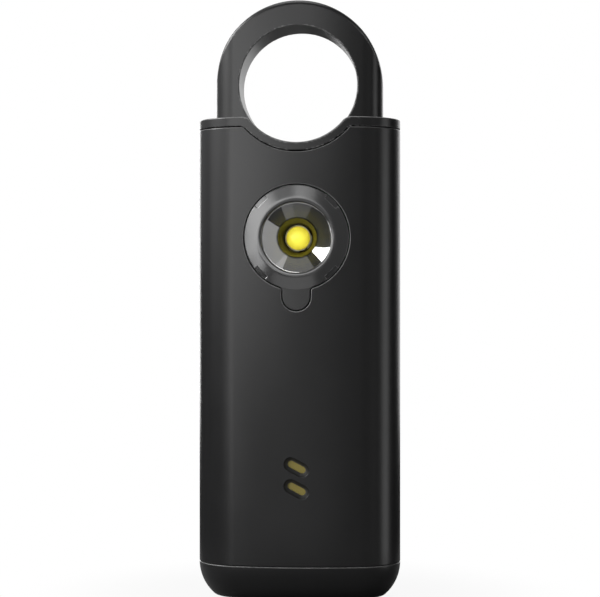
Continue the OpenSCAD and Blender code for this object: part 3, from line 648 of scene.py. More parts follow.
def baseField(x, y, z):
    size = baseCap
    drop = np.clip(alarm["baseHeight"] - z, 0.0, alarm["baseHeight"] + size["roomBelow"])
    upright = np.sqrt(size["curl"]**2 - drop**2)
    outline = ovalDistance(bodyOval, x, y)
    bowl = (outline + size["curl"] - upright) * upright / size["curl"]
    bowl = roundedCut(bowl, -z, size["bottomEdge"])
    bowl = roundedCut(bowl, z - alarm["baseHeight"], size["seamEdge"])
    spigot = roundedCut(outline + innerInset, z - spigotTop, size["spigotEdge"])
    sealMiddle = alarm["baseHeight"] + size["sealRise"] + size["sealHeight"] / 2
    grooveFloor = innerInset + size["spigotWall"] / 2
    groove = within(np.abs(z - sealMiddle) - size["sealHeight"] / 2, -outline - grooveFloor)
    hollow = within(outline + innerInset + size["spigotWall"], size["floor"] - z)
    solid = within(either(bowl, within(spigot, size["floor"] - z, -groove)), -hollow)
    around = np.hypot(np.abs(x) - size["screwX"], y)
    heads = within(around - size["headHole"], z - size["headDepth"])
    solid = within(roundedCut(solid, -heads, size["holeEdge"]), size["screwHole"] - around)
    port = pillDistance(x, y - size["portY"], size["portWidth"], size["portDepth"])
    return roundedCut(solid, -port, size["holeEdge"])


baseRoom = caseRoom(-baseCap["roomBelow"], spigotTop + baseCap["roomAbove"])
basePiece = fieldPiece("baseCap", baseField, baseRoom, baseCap, finish["case"])
dress(basePiece, "case", "case_plastic", "base_cap")


# Torch button: bezel with its swelling rim, thumb tab, pockets, skirt, snap hooks and post
bezel = {
    "radius": 8.16,
    "tabWidth": 4.32,
    "tabReach": 11.36,
    "junction": 0.54,
    "rimSlope": 0.175,
    "crest": 6.55,
    "rimBend": 0.2,
    "frontScale": 0.93,
    "edge": 0.12,
    "mouth": 5.45,
    "mouthEdge": 0.12,
    "plate": 1.3,
    "root": 0.6,
    "lip": 0.8,
    "seat": 5.95,
    "skirt": 6.75,
    "skirtEnd": 5.6,
    "pocketIn": 7.46,
    "pocketLength": 2.3,
    "pocketDepth": 0.08,
    "pocketSlope": 0.05,
    "pocketEdge": 0.04,
    "hookWidth": 1.6,
    "hookIn": 7.1,
    "hookOut": 8.8,
    "hookStem": 8.0,
    "hookFront": 6.43,
    "hookHead": 0.8,
    "postRadius": 1.1,
    "postEnd": 3.0,
    # shares of wear and painted highlight along the rim, and the reach and spread of the full share at the
    # pockets
    "wornAndLitRim": 0.16,
    "wornAndLitReach": 7.2,
    "wornAndLitSpread": 2.2,
    "roomSide": 8.7,
    "roomFront": 9.1,
    "roomBack": 2.8,
    "roomBelow": 2.6,
    "step": 0.1,
}
tabRadius = bezel["tabWidth"] / 2
tabHeight = torchHeight - bezel["tabReach"] + tabRadius


# Height of the rim over the crown: a cone that bends over towards the mouth
def rimHeight(reach):
    bend = np.maximum(bezel["crest"] - reach, 0.0)
    return bezel["rimSlope"] * np.maximum(bezel["radius"] - reach, 0.0) - bezel["rimBend"] * bend**3


def bezelField(x, y, z):
    size, face = bezel, alarm["halfDepth"]
    ahead = -y
    reach = np.hypot(x, z - torchHeight)
    front = crownHeight(x) + rimHeight(reach)
    tab = np.hypot(x, z - np.clip(z, tabHeight, torchHeight)) - tabRadius
    outline = filledJoin(reach - size["radius"], tab, size["junction"])
    plate = roundedCut(outline, size["frontScale"] * (ahead - front), size["edge"])
    plate = within(plate, face - size["plate"] - ahead)
    rooted = ahead - face + size["root"]  # skirt, hooks and post end inside the plate
    skirt = within(reach - size["skirt"], size["skirtEnd"] - ahead, rooted)
    # hooks on the diagonals, with a pocket in front of each
    across = np.abs(x) * math.sqrt(0.5)
    along = np.abs(z - torchHeight) * math.sqrt(0.5)
    outwards, sideways = across + along, np.abs(across - along)
    hook = within(size["hookIn"] - outwards, sideways - size["hookWidth"] / 2)
    stem = within(hook, outwards - size["hookStem"], rooted, size["hookFront"] - size["hookHead"] - ahead)
    headGap = np.abs(ahead - size["hookFront"] + size["hookHead"] / 2) - size["hookHead"] / 2
    head = within(hook, outwards - size["hookOut"], headGap)
    post = within(np.hypot(x, z - tabHeight) - size["postRadius"], size["postEnd"] - ahead, rooted)
    solid = either(plate, skirt, stem, head, post)
    pocketFloor = front - size["pocketDepth"] - size["pocketSlope"] * (outwards - size["pocketIn"])
    pocket = within(size["pocketIn"] - outwards, sideways - size["pocketLength"] / 2, pocketFloor - ahead)
    solid = roundedCut(solid, -pocket, size["pocketEdge"])
    # mouth, with the wider seat of the lens behind the lip
    seat = within(reach - size["seat"], ahead - face + size["lip"])
    return roundedCut(within(solid, -seat), size["mouth"] - reach, size["mouthEdge"])


# Full wear and painted highlight at the pockets, and less along the rim
def bezelWearAndHighlight(points):
    across, _, along = np.abs(points - np.array([0, 0, torchHeight])).T
    nearPocket = (np.abs(across - along) < bezel["wornAndLitSpread"]) & (np.hypot(across, along) > bezel["wornAndLitReach"])
    return np.where(nearPocket, 1.0, bezel["wornAndLitRim"])


bezelRoom = (
    (-bezel["roomSide"], -bezel["roomFront"], tabHeight - bezel["roomBelow"]),
    (bezel["roomSide"], -bezel["roomBack"], torchHeight + bezel["roomSide"]),
)
bezelPiece = fieldPiece("torchBezel", bezelField, bezelRoom, bezel, finish["bezel"], bezelWearAndHighlight)
dress(bezelPiece, "torch_button", "bezel_plastic", "torch_bezel")


# Sleeve: a flat pattern with its openings, given rounded edges and wrapped round the oval
sleeve = {
    "edge": 0.16,
    "lowerEdge": 0.05,
    "lowerRise": 0.1,
    "slotEdge": 0.12,
    # shares of wear and painted highlight on the upper edge, the opening's edge and the windows' walls
    "wornAndLitUpper": 0.7,
    "wornAndLitOpening": 1.0,
    "paleLitWindow": 0.4,
    "corner": 0.35,
    "buttonGap": 0.14,
    "windowHeight": 19.2,
    "windowPitch": 3.4,
    "windowLength": 4.05,
    "windowWidth": 2.1,
    "windowSlope": 0.5,
    "windowSink": 0.8,
    "lean": 28.0,
    "soundHeight": 18.43,
    "soundPitch": 3.4,
    "soundLength": 4.2,
    "soundWidth": 1.2,
    "soundSlots": 3,
    "rowStep": 2.4,
    "edgeSteps": 4,
    "edgeEnd": 0.12,
    "rimGap": 0.5,
    "topGap": 0.8,
    "topRow": 1.0,
    "columns": ((0.0, 7.2, 11), (7.2, 9.4, 31), (9.4, bodyOval["length"] / 4, 30)),  # from, to and count
    "roundPoints": 110,
    "bendPoints": 8,
    "tabPoints": 32,
    "slotPoints": 13,
}
lowerHeight = alarm["baseHeight"] + sleeve["lowerRise"]


# Height of the sleeve's upper edge at x
def dipEdge(x):
    radius = dipRadius + alarm["seam"]
    corner = sleeve["corner"]
    rise = ringHeight - alarm["shoulder"]
    cornerX = math.sqrt((radius + corner)**2 - (rise + corner)**2)
    touchX = cornerX * radius / (radius + corner)
    x = np.abs(x)
    dip = ringHeight - np.sqrt(np.maximum(radius**2 - x**2, 0))
    bend = alarm["shoulder"] - corner + np.sqrt(np.maximum(corner**2 - (x - cornerX)**2, 0))
    return np.where(x < touchX, dip, np.where(x < cornerX, bend, alarm["shoulder"]))


def arcPoints(middle, radius, start, end, count):
    turns = np.radians(np.linspace(start, end, count))
    return np.stack([middle[0] + radius * np.cos(turns), middle[1] + radius * np.sin(turns)], 1)


# Outline of the opening round the torch button
def keyholeLoop(gap):
    radius = bezel["radius"] + gap
    half = tabRadius + gap
    bend = bezel["junction"] - gap
    bendX = half + bend
    bendZ = -math.sqrt((radius + bend)**2 - bendX**2)
    lean = math.degrees(math.atan2(-bendZ, bendX))
    big = arcPoints((0, torchHeight), radius, -lean, 180 + lean, sleeve["roundPoints"])
    left = arcPoints((-bendX, torchHeight + bendZ), bend, lean, 0, sleeve["bendPoints"])
    tab = arcPoints((0, tabHeight), half, 180, 360, sleeve["tabPoints"])
    right = arcPoints((bendX, torchHeight + bendZ), bend, 180, 180 - lean, sleeve["bendPoints"])
    return np.concatenate([big, left[1:], tab, right[:-1]])


def pillLoop(middle, length, width, lean):
    half = (length - width) / 2
    loop = np.concatenate([
        arcPoints((half, 0), width / 2, -90, 90, sleeve["slotPoints"]),
        arcPoints((-half, 0), width / 2, 90, 270, sleeve["slotPoints"]),
    ])
    c, s = math.cos(math.radians(lean)), math.sin(math.radians(lean))
    return loop @ np.array([[c, s], [-s, c]]) + np.array(middle)


# Offset into the wall and depth, from the outer face round the edge and down to the inner face
def edgeProfile(edge, steps, slope=0.0, sink=0.0):
    full = math.atan2(sink, slope) if slope else math.pi / 2
    profile = [(edge * (1 - math.sin(t)), edge * (1 - math.cos(t))) for t in np.linspace(0, full, steps + 1)]
    profile.append((-slope, sink) if slope else (0.0, edge + sleeve["edgeEnd"]))
    return np.array(profile + [(-slope, alarm["wall"])]), steps


def insideLoop(loop, p):
    a, b = loop, np.roll(loop, -1, axis=0)
    x, y = p[:, 0:1], p[:, 1:2]
    crosses = (a[:, 1] > y) != (b[:, 1] > y)
    with np.errstate(divide="ignore", invalid="ignore"):
        cut = a[:, 0] + (y - a[:, 1]) * (b[:, 0] - a[:, 0]) / (b[:, 1] - a[:, 1])
    return (crosses & (x < cut)).sum(1) % 2 == 1


# Direction into the wall along a line or a loop
def wallSide(line, closed, towards):
    if closed:
        step = np.roll(line, -1, axis=0) - np.roll(line, 1, axis=0)
    else:
        step = np.gradient(line, axis=0)
    step /= np.linalg.norm(step, axis=1)[:, None]
    side = np.stack([step[:, 1], -step[:, 0]], 1)
    return side * towards


# Place on the wrapped pattern, sunk below the outer face, and the outward and sideways directions there
def wrap(pattern, sunk=0.0):
    x, y, outX, outY = ovalAt(bodyOval, pattern[:, 0])
    flat = np.zeros(len(x))
    place = np.stack([x - sunk * outX, y - sunk * outY, pattern[:, 1]], 1)
    return place, np.stack([outX, outY, flat], 1), np.stack([-outY, outX, flat], 1)


# Place on the pattern that lies straight behind a place on the crown, so that the button can slide
def straightBack(line, sunk):
    crown = alarm["crownRadius"]
    middle = np.where(line[:, 0] < -bodyOval["length"] / 4, -bodyOval["length"] / 2, 0.0)
    across = np.sin((line[:, 0] - middle) / crown) * crown / (crown - sunk)
    return np.stack([middle + crown * np.arcsin(across), line[:, 1]], 1)


# Edges of the sleeve: line, closed or not, side of the wall, profile, and the share of wear and painted
# highlight on the edge and on the wall
def sleeveLines(along, upper):
    half, crown = bodyOval["length"] / 2, alarm["crownRadius"]
    plain = edgeProfile(sleeve["edge"], sleeve["edgeSteps"])
    crisp = edgeProfile(sleeve["lowerEdge"], sleeve["edgeSteps"] - 1)
    fine = edgeProfile(sleeve["slotEdge"], sleeve["edgeSteps"] - 1)
    slope, sink = sleeve["windowSlope"], sleeve["windowSink"]
    sunk = edgeProfile(sleeve["slotEdge"], sleeve["edgeSteps"] - 1, slope, sink)
    lower = np.stack([along, np.full(len(along), lowerHeight)], 1)
    lines = [
        (upper, False, 1.0, plain, (sleeve["wornAndLitUpper"], 0.0)),
        (lower, False, -1.0, crisp, (0.0, 0.0)),
    ]

    def laid(loop, middle, turned):
        along = middle + turned * crown * np.arcsin(loop[:, 0] / crown)
        return np.stack([along, loop[:, 1]], 1)[::turned]

    keyhole = laid(keyholeLoop(sleeve["buttonGap"]), 0.0, 1)
    lines.append((keyhole, True, 1.0, plain, (sleeve["wornAndLitOpening"], 0.0)))
    for side in (-0.5, 0.5):
        middle = (0, sleeve["windowHeight"] + side * sleeve["windowPitch"])
        loop = pillLoop(middle, sleeve["windowLength"], sleeve["windowWidth"], -sleeve["lean"])
        lines.append((laid(loop, 0.0, 1), True, 1.0, sunk, (0.0, sleeve["paleLitWindow"])))
    for row in range(sleeve["soundSlots"]):
        middle = (0, sleeve["soundHeight"] + (row - (sleeve["soundSlots"] - 1) / 2) * sleeve["soundPitch"])
        loop = pillLoop(middle, sleeve["soundLength"], sleeve["soundWidth"], -sleeve["lean"])
        lines.append((laid(loop, -half, -1), True, 1.0, fine, (0.0, 0.0)))
    return lines


def buildSleeve():
    quarter = bodyOval["length"] / 4
    # columns stand closer round the sides and at the corners of the dip
    right = np.concatenate([np.linspace(*span)[1:] for span in sleeve["columns"]])
    front = np.concatenate([-right[::-1], [0.0], right])
    along = np.concatenate([front[:-1] - 2 * quarter, front])
    upper = np.stack([along, dipEdge(ovalAt(bodyOval, along)[0])], 1)
    flat, edges, rims = [], [], []
    start = 0
    for line, closed, towards, (profile, bends), rubbedAndLit in sleeveLines(along, upper):
        side = wallSide(line, closed, towards)
        count = len(line)
        rims.append((line, side, closed, profile, bends, rubbedAndLit, start))
        flat.append(line + side * profile[0, 0])
        edges += [(start + i, start + (i + 1) % count) for i in range(count if closed else count - 1)]
        start += count
    # ends of the pattern, which meet on the right side
    rowStep, lastRow = sleeve["rowStep"], alarm["shoulder"] - sleeve["topRow"]
    levels = np.arange(alarm["baseHeight"] + rowStep, lastRow, rowStep)
    for end in (0, len(along) - 1):
        chain = [len(along) + end] + list(range(start, start + len(levels))) + [end]
        edges += list(zip(chain[:-1], chain[1:]))
        flat.append(np.stack([np.full(len(levels), along[end]), levels], 1))
        start += len(levels)
    grid = np.array([(a, z) for a in along[1:-1] for z in levels])
    keep = grid[:, 1] < np.interp(grid[:, 0], along, upper[:, 1]) - sleeve["topGap"]
    for line, *_ in rims[2:]:
        keep &= ~insideLoop(line, grid)
        keep &= np.min(np.linalg.norm(grid[:, None] - line[None], axis=2), axis=1) > sleeve["rimGap"]
    flat = np.concatenate(flat + [grid[keep]])
    merge, slack = 1e-6, 1e-4
    mapped = delaunay_2d_cdt([Vector(p) for p in flat], edges, [], 0, merge)
    triangles = np.array([[mapped[3][i][0] for i in face] for face in mapped[2]])
    middles = flat[triangles].mean(1)
    drop = middles[:, 1] > np.interp(middles[:, 0], *flat[:len(along)].T) - slack
    drop |= middles[:, 1] < lowerHeight + sleeve["lowerEdge"] + slack
    for line, *_, first in rims[2:]:
        drop |= insideLoop(flat[first:first + len(line)], middles)
    triangles = triangles[~drop]
    first, second = flat[triangles[:, 1:]].swapaxes(0, 1) - flat[triangles[:, 0]]
    turned = first[:, 0] * second[:, 1] - first[:, 1] * second[:, 0] < 0
    triangles[turned] = triangles[turned][:, ::-1]

    outer, outwards, _ = wrap(flat)
    points, faces, corners = [outer], [triangles], [outwards[triangles].reshape(-1, 3)]
    worn = [np.zeros(len(flat))]
    innerOf = np.arange(len(flat))
    total = len(flat)
    rimmed = np.zeros(len(flat), bool)
    for line, side, closed, profile, bends, rubbedAndLit, first in rims:
        count = len(line)
        _, out, across = wrap(line)
        into = side[:, :1] * across + side[:, 1:] * np.array([0.0, 0.0, 1.0])
        ring, here = first + np.arange(count), outer[first:first + count]
        rimmed[ring] = True
        for k in range(1, len(profile)):
            sunkLine = line + side * profile[k, 0]
            if closed:
                sunkLine = straightBack(sunkLine, profile[k, 1])
            below, there = total + np.arange(count), wrap(sunkLine, profile[k, 1])[0]
            total += count
            shades = []
            for j in (k - 1, k):
                offset, sunk = profile[k] - profile[k - 1]
                if k <= bends:
                    tilt = math.asin(np.clip(1 - profile[j, 0] / profile[0, 0], -1, 1))
                    offset, sunk = -math.cos(tilt), math.sin(tilt)
                shades.append((-sunk * into - offset * out) / math.hypot(offset, sunk))
            i = np.arange(count if closed else count - 1)
            n = (i + 1) % count
            quad = np.stack([ring[i], ring[n], below[n], below[i]], 1)
            shade = np.stack([shades[0][i], shades[0][n], shades[1][n], shades[1][i]], 1)
            facing = np.cross(here[n] - here[i], there[i] - here[i])
            flip = (facing * shade[:, 0]).sum(1) < 0
            quad[flip], shade[flip] = quad[flip][:, ::-1], shade[flip][:, ::-1]
            points.append(there)
            worn.append(np.full(count, rubbedAndLit[0] if k <= bends else rubbedAndLit[1]))
            faces.append(quad)
            corners.append(shade.reshape(-1, 3))
            ring, here = below, there
        innerOf[first:first + count] = ring
    hidden = np.flatnonzero(~rimmed)
    points.append(wrap(flat[hidden], alarm["wall"])[0])
    worn.append(np.zeros(len(hidden)))
    innerOf[hidden] = total + np.arange(len(hidden))
    faces.append(innerOf[triangles[:, ::-1]])
    corners.append(-outwards[triangles[:, ::-1]].reshape(-1, 3))
    # weld the two ends
    points = np.concatenate(points)
    _, first, same = np.unique(np.round(points, 4), axis=0, return_index=True, return_inverse=True)
    same = same.reshape(-1)
    faces = [same[face] for block in faces for face in block]
    return points[first], faces, np.concatenate(worn)[first], np.concatenate(corners)


points, faces, worn, corners = buildSleeve()
sleevePiece = newPiece("bodySleeve", points, faces, finish["case"], edges=worn, cornerNormals=corners)
dress(sleevePiece, "case", "case_plastic", "body_sleeve")


# Piece turned about the torch's axis, from (radius, distance ahead) pairs
def turnedPiece(name, profile, material, count=96, sharp=32):
    turns = np.linspace(0, 2 * math.pi, count, endpoint=False)
    points, rows = [], []
    for radius, ahead in profile:
        if radius < 1e-6:
            rows.append([len(points)] * count)
            points.append((0.0, -ahead, torchHeight))
            continue
        rows.append(list(range(len(points), len(points) + count)))
        points += [(radius * math.cos(t), -ahead, torchHeight + radius * math.sin(t)) for t in turns]
    faces = []
    for here, there in zip(rows, rows[1:] + rows[:1]):
        for i in range(count):
            j = (i + 1) % count
            face = list(dict.fromkeys([here[i], here[j], there[j], there[i]]))
            if len(face) > 2:
                faces.append(face)
    piece = newPiece(name, points, faces, material)
    changeMesh(piece.data, lambda work: bmesh.ops.recalc_face_normals(work, faces=work.faces))
    shadeSmooth(piece.data, sharp)
    return piece


# Reflector: a shallow mirror cone over a collar painted dark as shade, with a rounded lip under the lens
reflector = {
    "rim": 5.9,
    "rimFront": 6.9,
    "rimBack": 6.4,
    "coneFront": 5.3,
    "coneBack": 3.05,
    "coneEnd": 5.95,
    "collarBack": 2.25,
    "collarEnd": 3.9,
    "collarHole": 2.02,
    "collarEdge": 0.1,
    "collarRise": 0.15,
    "wall": 0.3,
    "backStep": 0.1,
    "lip": 0.14,
    "lipTurn": 115,
    "lipPoints": 4,
}


def reflectorProfile(rim, rimFront, rimBack, coneFront, coneBack, coneEnd, collarBack, collarEnd, collarHole,
                     collarEdge, collarRise, wall, backStep, lip, lipTurn, lipPoints):
    collar = [(collarBack + wall, collarEnd), (collarHole, collarEnd), (collarHole, collarEnd + collarEdge),
              (collarBack, collarEnd + collarRise), (coneBack, coneEnd)]
    rounded = [tuple(p) for p in arcPoints((coneFront + lip, rimFront - lip), lip, lipTurn, 90, lipPoints)]
    back = [(rim, rimFront), (rim, rimBack), (coneFront + wall, rimBack), (coneBack + wall, coneEnd - backStep)]
    return collar + rounded + back


mirrorPiece = turnedPiece("torchReflector", reflectorProfile(**reflector), finish["mirror"], count=128, sharp=20)
dress(mirrorPiece, "torch_button", "reflector_metal", "torch_reflector")

# Light dome: a shallow cap on the light's package
lightDome = {"radius": 1.84, "back": 3.3, "wall": 0.55, "rise": 0.65, "capPoints": 16}


def domeProfile(radius, back, wall, rise, capPoints):
    capRadius = (radius**2 + rise**2) / (2 * rise)
    opening = math.degrees(math.asin(radius / capRadius))
    top = back + wall + rise
    cap = [tuple(p) for p in arcPoints((0.0, top - capRadius), capRadius, 90 - opening, 90, capPoints)]
    return [(0.0, back), (radius, back)] + cap[:-1] + [(0.0, top)]


domePiece = turnedPiece("torchLightDome", domeProfile(**lightDome), finish["lightDome"], count=72)
dress(domePiece, "case", "light_yellow", "torch_light_dome")


# Geometry Nodes for what repeats or follows a path

def newTree(name, inputs):
    tree = bpy.data.node_groups.new(name, "GeometryNodeTree")
    ids = addSockets(tree, {"Geometry": "Geometry", **inputs, "Material": "Material"}, "INPUT")
    addSockets(tree, {"Geometry": "Geometry"}, "OUTPUT")
    return tree, ids, newNode(tree, "NodeGroupInput").outputs


# One copy on each seed point, made real and painted
def closeTree(tree, given, shape, turned=None):
    copies = newNode(tree, "GeometryNodeInstanceOnPoints", {"Points": given["Geometry"], "Instance": shape})
    setInputs(tree, copies, turned or {})
    real = newNode(tree, "GeometryNodeRealizeInstances", {"Geometry": copies.outputs["Instances"]})
    paint = newNode(tree, "GeometryNodeSetMaterial", {
        "Geometry": real.outputs["Geometry"], "Material": given["Material"],
    })
    newNode(tree, "NodeGroupOutput", {"Geometry": paint.outputs["Geometry"]})


# Screw line along Z
def spiralNode(tree, radius, turns, height, resolution):
    return newNode(tree, "GeometryNodeCurveSpiral", {
        "Resolution": resolution, "Rotations": turns, "Height": height,
        "Start Radius": radius, "End Radius": radius,
    }).outputs["Curve"]


def circleNode(tree, radius, resolution):
    values = {"Resolution": resolution, "Radius": radius}
    return newNode(tree, "GeometryNodeCurvePrimitiveCircle", values).outputs["Curve"]


def sweepNode(tree, path, section, caps):
    return newNode(tree, "GeometryNodeCurveToMesh", {
        "Curve": path, "Profile Curve": section, "Fill Caps": caps,
    }).outputs["Mesh"]


# Object grown by a tree from a few points, turned into a plain mesh
def grownPiece(name, seedPoints, tree, ids, values, sharp=35):
    mesh = bpy.data.meshes.new(name + "Seed")
    mesh.from_pydata([tuple(c * mm for c in p) for p in seedPoints], [], [])
    seed = addObject(name + "Seed", mesh)
    grow = seed.modifiers.new("grow", "NODES")
    grow.node_group = tree
    for label, value in values.items():
        grow[ids[label]] = value
    bpy.context.view_layer.update()
    grown = bpy.data.meshes.new_from_object(seed.evaluated_get(bpy.context.evaluated_depsgraph_get()))
    seed.modifiers.remove(grow)
    bpy.data.objects.remove(seed)
    shadeSmooth(grown, sharp)
    return addObject(name, grown)


# Torch spring between the board and the bezel's skirt
torchSpring = {
    "coilRadius": 6.2,
    "wire": 0.5,
    "turns": 3.0,
    "back": -1.17,
    "length": 4.16,
    "anchor": -0.9,
    "press": 0.5,
    "turnPoints": 48,
    "wirePoints": 16,
}


# Wire wound along a screw line, lying along Y
def coilTree():
    tree, ids, given = newTree("woundWire", {
        "Coil Radius": "Float", "Wire Radius": "Float", "Turns": "Float", "Length": "Float",
    })
    path = spiralNode(tree, given["Coil Radius"], given["Turns"], given["Length"], torchSpring["turnPoints"])
    section = circleNode(tree, given["Wire Radius"], torchSpring["wirePoints"])
    wire = sweepNode(tree, path, section, True)
    lay = newNode(tree, "GeometryNodeTransform", {"Geometry": wire, "Rotation": (math.radians(90), 0, 0)})
    closeTree(tree, given, lay.outputs["Geometry"])
    return tree, ids


springPiece = grownPiece("torchSpring", [(0, torchSpring["back"], torchHeight)], *coilTree(), {
    "Coil Radius": torchSpring["coilRadius"] * mm,
    "Wire Radius": torchSpring["wire"] / 2 * mm,
    "Turns": torchSpring["turns"],
    "Length": torchSpring["length"] * mm,
    "Material": finish["steel"],
}, sharp=60)
dress(springPiece, "case", "steel", "torch_spring")
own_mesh(springPiece)

# What the screws share, as shares of the shank's and the head's sizes
screwShape = {
    "bevel": 0.2,
    "slotLength": 1.2,
    "slotWidth": 0.5,
    "threadRadius": 0.94,
    "threadLength": 0.9,
    "threadStart": -0.97,
    "ridge": 0.07,
    "sides": 40,
    "turnPoints": 24,
    "ridgePoints": 6,
}


# Screws with a bevelled head, a cross recess and a thread, one on each point
def screwTree():
    tree, ids, given = newTree("crossScrews", {
        "Head Radius": "Float", "Head Height": "Float", "Bevel": "Float", "Shank Radius": "Float",
        "Shank Length": "Float", "Thread Turns": "Float", "Recess": "Vector", "Facing": "Rotation",
    })

    def scaled(label, share):
        return mathNode(tree, "MULTIPLY", given[label], share)

    def moved(geometry, z, turn=0.0):
        shift = newNode(tree, "ShaderNodeCombineXYZ", {"Z": z}).outputs[0]
        return newNode(tree, "GeometryNodeTransform", {
            "Geometry": geometry, "Translation": shift, "Rotation": (0, 0, math.radians(turn)),
        }).outputs["Geometry"]

    def rod(bottom, top, height, middle):
        return moved(newNode(tree, "GeometryNodeMeshCone", {
            "Vertices": screwShape["sides"], "Radius Bottom": bottom, "Radius Top": top, "Depth": height,
        }).outputs["Mesh"], middle)

    def boolean(operation, others, inputs=None):
        node = newNode(tree, "GeometryNodeMeshBoolean", inputs, operation=operation)
        for other in others:
            tree.links.new(other, node.inputs["Mesh 2"])
        return node.outputs["Mesh"]

    head, shank = given["Head Radius"], given["Shank Radius"]
    rim = mathNode(tree, "SUBTRACT", given["Head Height"], given["Bevel"])
    crown = mathNode(tree, "SUBTRACT", head, given["Bevel"])
    solid = boolean("UNION", (
        rod(head, head, rim, 0.0),
        rod(head, crown, given["Bevel"], rim),
        rod(shank, shank, given["Shank Length"], scaled("Shank Length", -1.0)),
    ))
    slot = newNode(tree, "GeometryNodeMeshCube", {"Size": given["Recess"]}).outputs["Mesh"]
    slots = [moved(slot, given["Head Height"], turn) for turn in (0.0, 90.0)]
    inner = scaled("Shank Radius", screwShape["threadRadius"])
    height = scaled("Shank Length", screwShape["threadLength"])
    path = spiralNode(tree, inner, given["Thread Turns"], height, screwShape["turnPoints"])
    ridge = circleNode(tree, scaled("Shank Radius", screwShape["ridge"]), screwShape["ridgePoints"])
    thread = sweepNode(tree, path, ridge, True)
    whole = newNode(tree, "GeometryNodeJoinGeometry")
    tree.links.new(boolean("DIFFERENCE", slots, {"Mesh 1": solid}), whole.inputs["Geometry"])
    tree.links.new(moved(thread, scaled("Shank Length", screwShape["threadStart"])), whole.inputs["Geometry"])
    closeTree(tree, given, whole.outputs["Geometry"], {"Rotation": given["Facing"]})
    return tree, ids


crossScrews = screwTree()


def screwPiece(name, node, seats, size, facing):
    head, height, shank = size["head"] * mm, size["headHeight"] * mm, size["shank"] * mm
    piece = grownPiece(name, seats, *crossScrews, {
        "Head Radius": head, "Head Height": height, "Bevel": screwShape["bevel"] * mm,
        "Shank Radius": shank, "Shank Length": size["length"] * mm, "Thread Turns": size["turns"],
        "Recess": [head * screwShape["slotLength"], shank * screwShape["slotWidth"], height],
        "Facing": facing, "Material": finish["steel"],
    })
    dress(piece, "case", "steel", node)


capScrews = {"head": 1.6, "headHeight": 0.9, "shank": 0.8, "length": 4.2, "turns": 8.0, "seat": 1.1}
seats = [(side * baseCap["screwX"], 0, capScrews["seat"]) for side in (-1, 1)]
screwPiece("capScrews", "cap_screws", seats, capScrews, (math.pi, 0.0, 0.0))

low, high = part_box("board_screws")
boardScrews = {"head": 1.1, "headHeight": 0.7, "shank": 0.55, "turns": 6.0, "seat": -0.9}
boardScrews["length"] = high[1] / mm - boardScrews["seat"]
heights = (low[2] / mm + boardScrews["head"], high[2] / mm - boardScrews["head"])
seats = [(side * pullRing["prongX"], boardScrews["seat"], z) for side in (-1, 1) for z in heights]
screwPiece("boardScrews", "board_screws", seats, boardScrews, (math.pi / 2, 0.0, 0.0))


# Seals on the prongs
def sealTree():
    tree, ids, given = newTree("sealRings", {"Ring Radius": "Float", "Bead Radius": "Float"})
    loop = circleNode(tree, given["Ring Radius"], pullRing["sealPoints"])
    section = circleNode(tree, given["Bead Radius"], pullRing["beadPoints"])
    closeTree(tree, given, sweepNode(tree, loop, section, False))
    return tree, ids


places = [(side * pullRing["prongX"], 0, sealHeight) for side in (-1, 1)]
bead = pullRing["sealThickness"] / 2
sealPiece = grownPiece("prongSeals", places, *sealTree(), {
    "Ring Radius": (pullRing["prongRadius"] + pullRing["sealRise"] - bead) * mm,
    "Bead Radius": bead * pullRing["sealShare"] * mm,
    "Material": finish["prongSeal"],
}, sharp=80)
dress(sealPiece, "pull_top", "prong_rubber", "prong_seals")

# Round CAD nodes that can be seen from outside or with the ring pulled
smoothCopy("innerFrame", "inner_frame", "case", "frame_plastic", finish["frame"])
smoothCopy("triggerMagnet", "trigger_magnet", "pull_top", "magnet_metal", finish["nickel"])
smoothCopy("torchLens", "torch_lens", "torch_button", "lens_clear", finish["clear"])
smoothCopy("lightPackage", "torch_light_package", "case", "light_white", finish["lightPackage"])
smoothCopy("chargingShell", "charging_shell", "case", "steel", finish["nickel"])

# CAD nodes that keep their shape
keptNodes = {
    "base_seal": "seal", "torch_light_base": "post", "switch_body": "switch", "switch_plunger": "plunger",
    "signal_light_guide": "guide", "signal_lights": "signalLight", "circuit_board": "board",
    "controller_chip": "chip", "board_capacitors": "capacitor", "boost_coil_core": "ferrite",
    "boost_coil_winding": "copper", "reed_switch": "reedGlass", "battery_cell": "foil", "battery_pad": "foam",
    "battery_lead_positive": "wireRed", "battery_lead_negative": "wireBlack", "sounder_holder": "frame",
    "sounder_plate": "brass", "sounder_ceramic": "ceramic", "sounder_leads": "wireBlack",
    "charging_tongue": "tongue",
}
for name, look in keptNodes.items():
    for slot in nodes[name].material_slots:
        slot.material = finish[look]
print("kept CAD nodes:", len(keptNodes))


# Studio, in metres; each share runs from one place to another and from one value to another
studio = {
    "halfWidth": 0.4,
    "ahead": 0.05,
    "floorHalf": 0.045,
    "behind": 0.6,
    "height": 0.9,
    "floorDrop": 0.0002,
    "floorValue": 0.15,
    "floorShare": (0.018, 0.048, 0.93, 1.0),
    "floorMirror": (0.0, 1.0, 0.0, 0.0),
    "backValue": 0.2,
    "backShare": (0.0, 1.0, 1.0, 1.0),
    "backMirror": (0.08, 0.2, 0.0, 1.0),
    "glassShare": (0.0, 0.1, 0.0, 1.0),
    "ambient": 0.03,
    "panelLevel": 0.05,
}


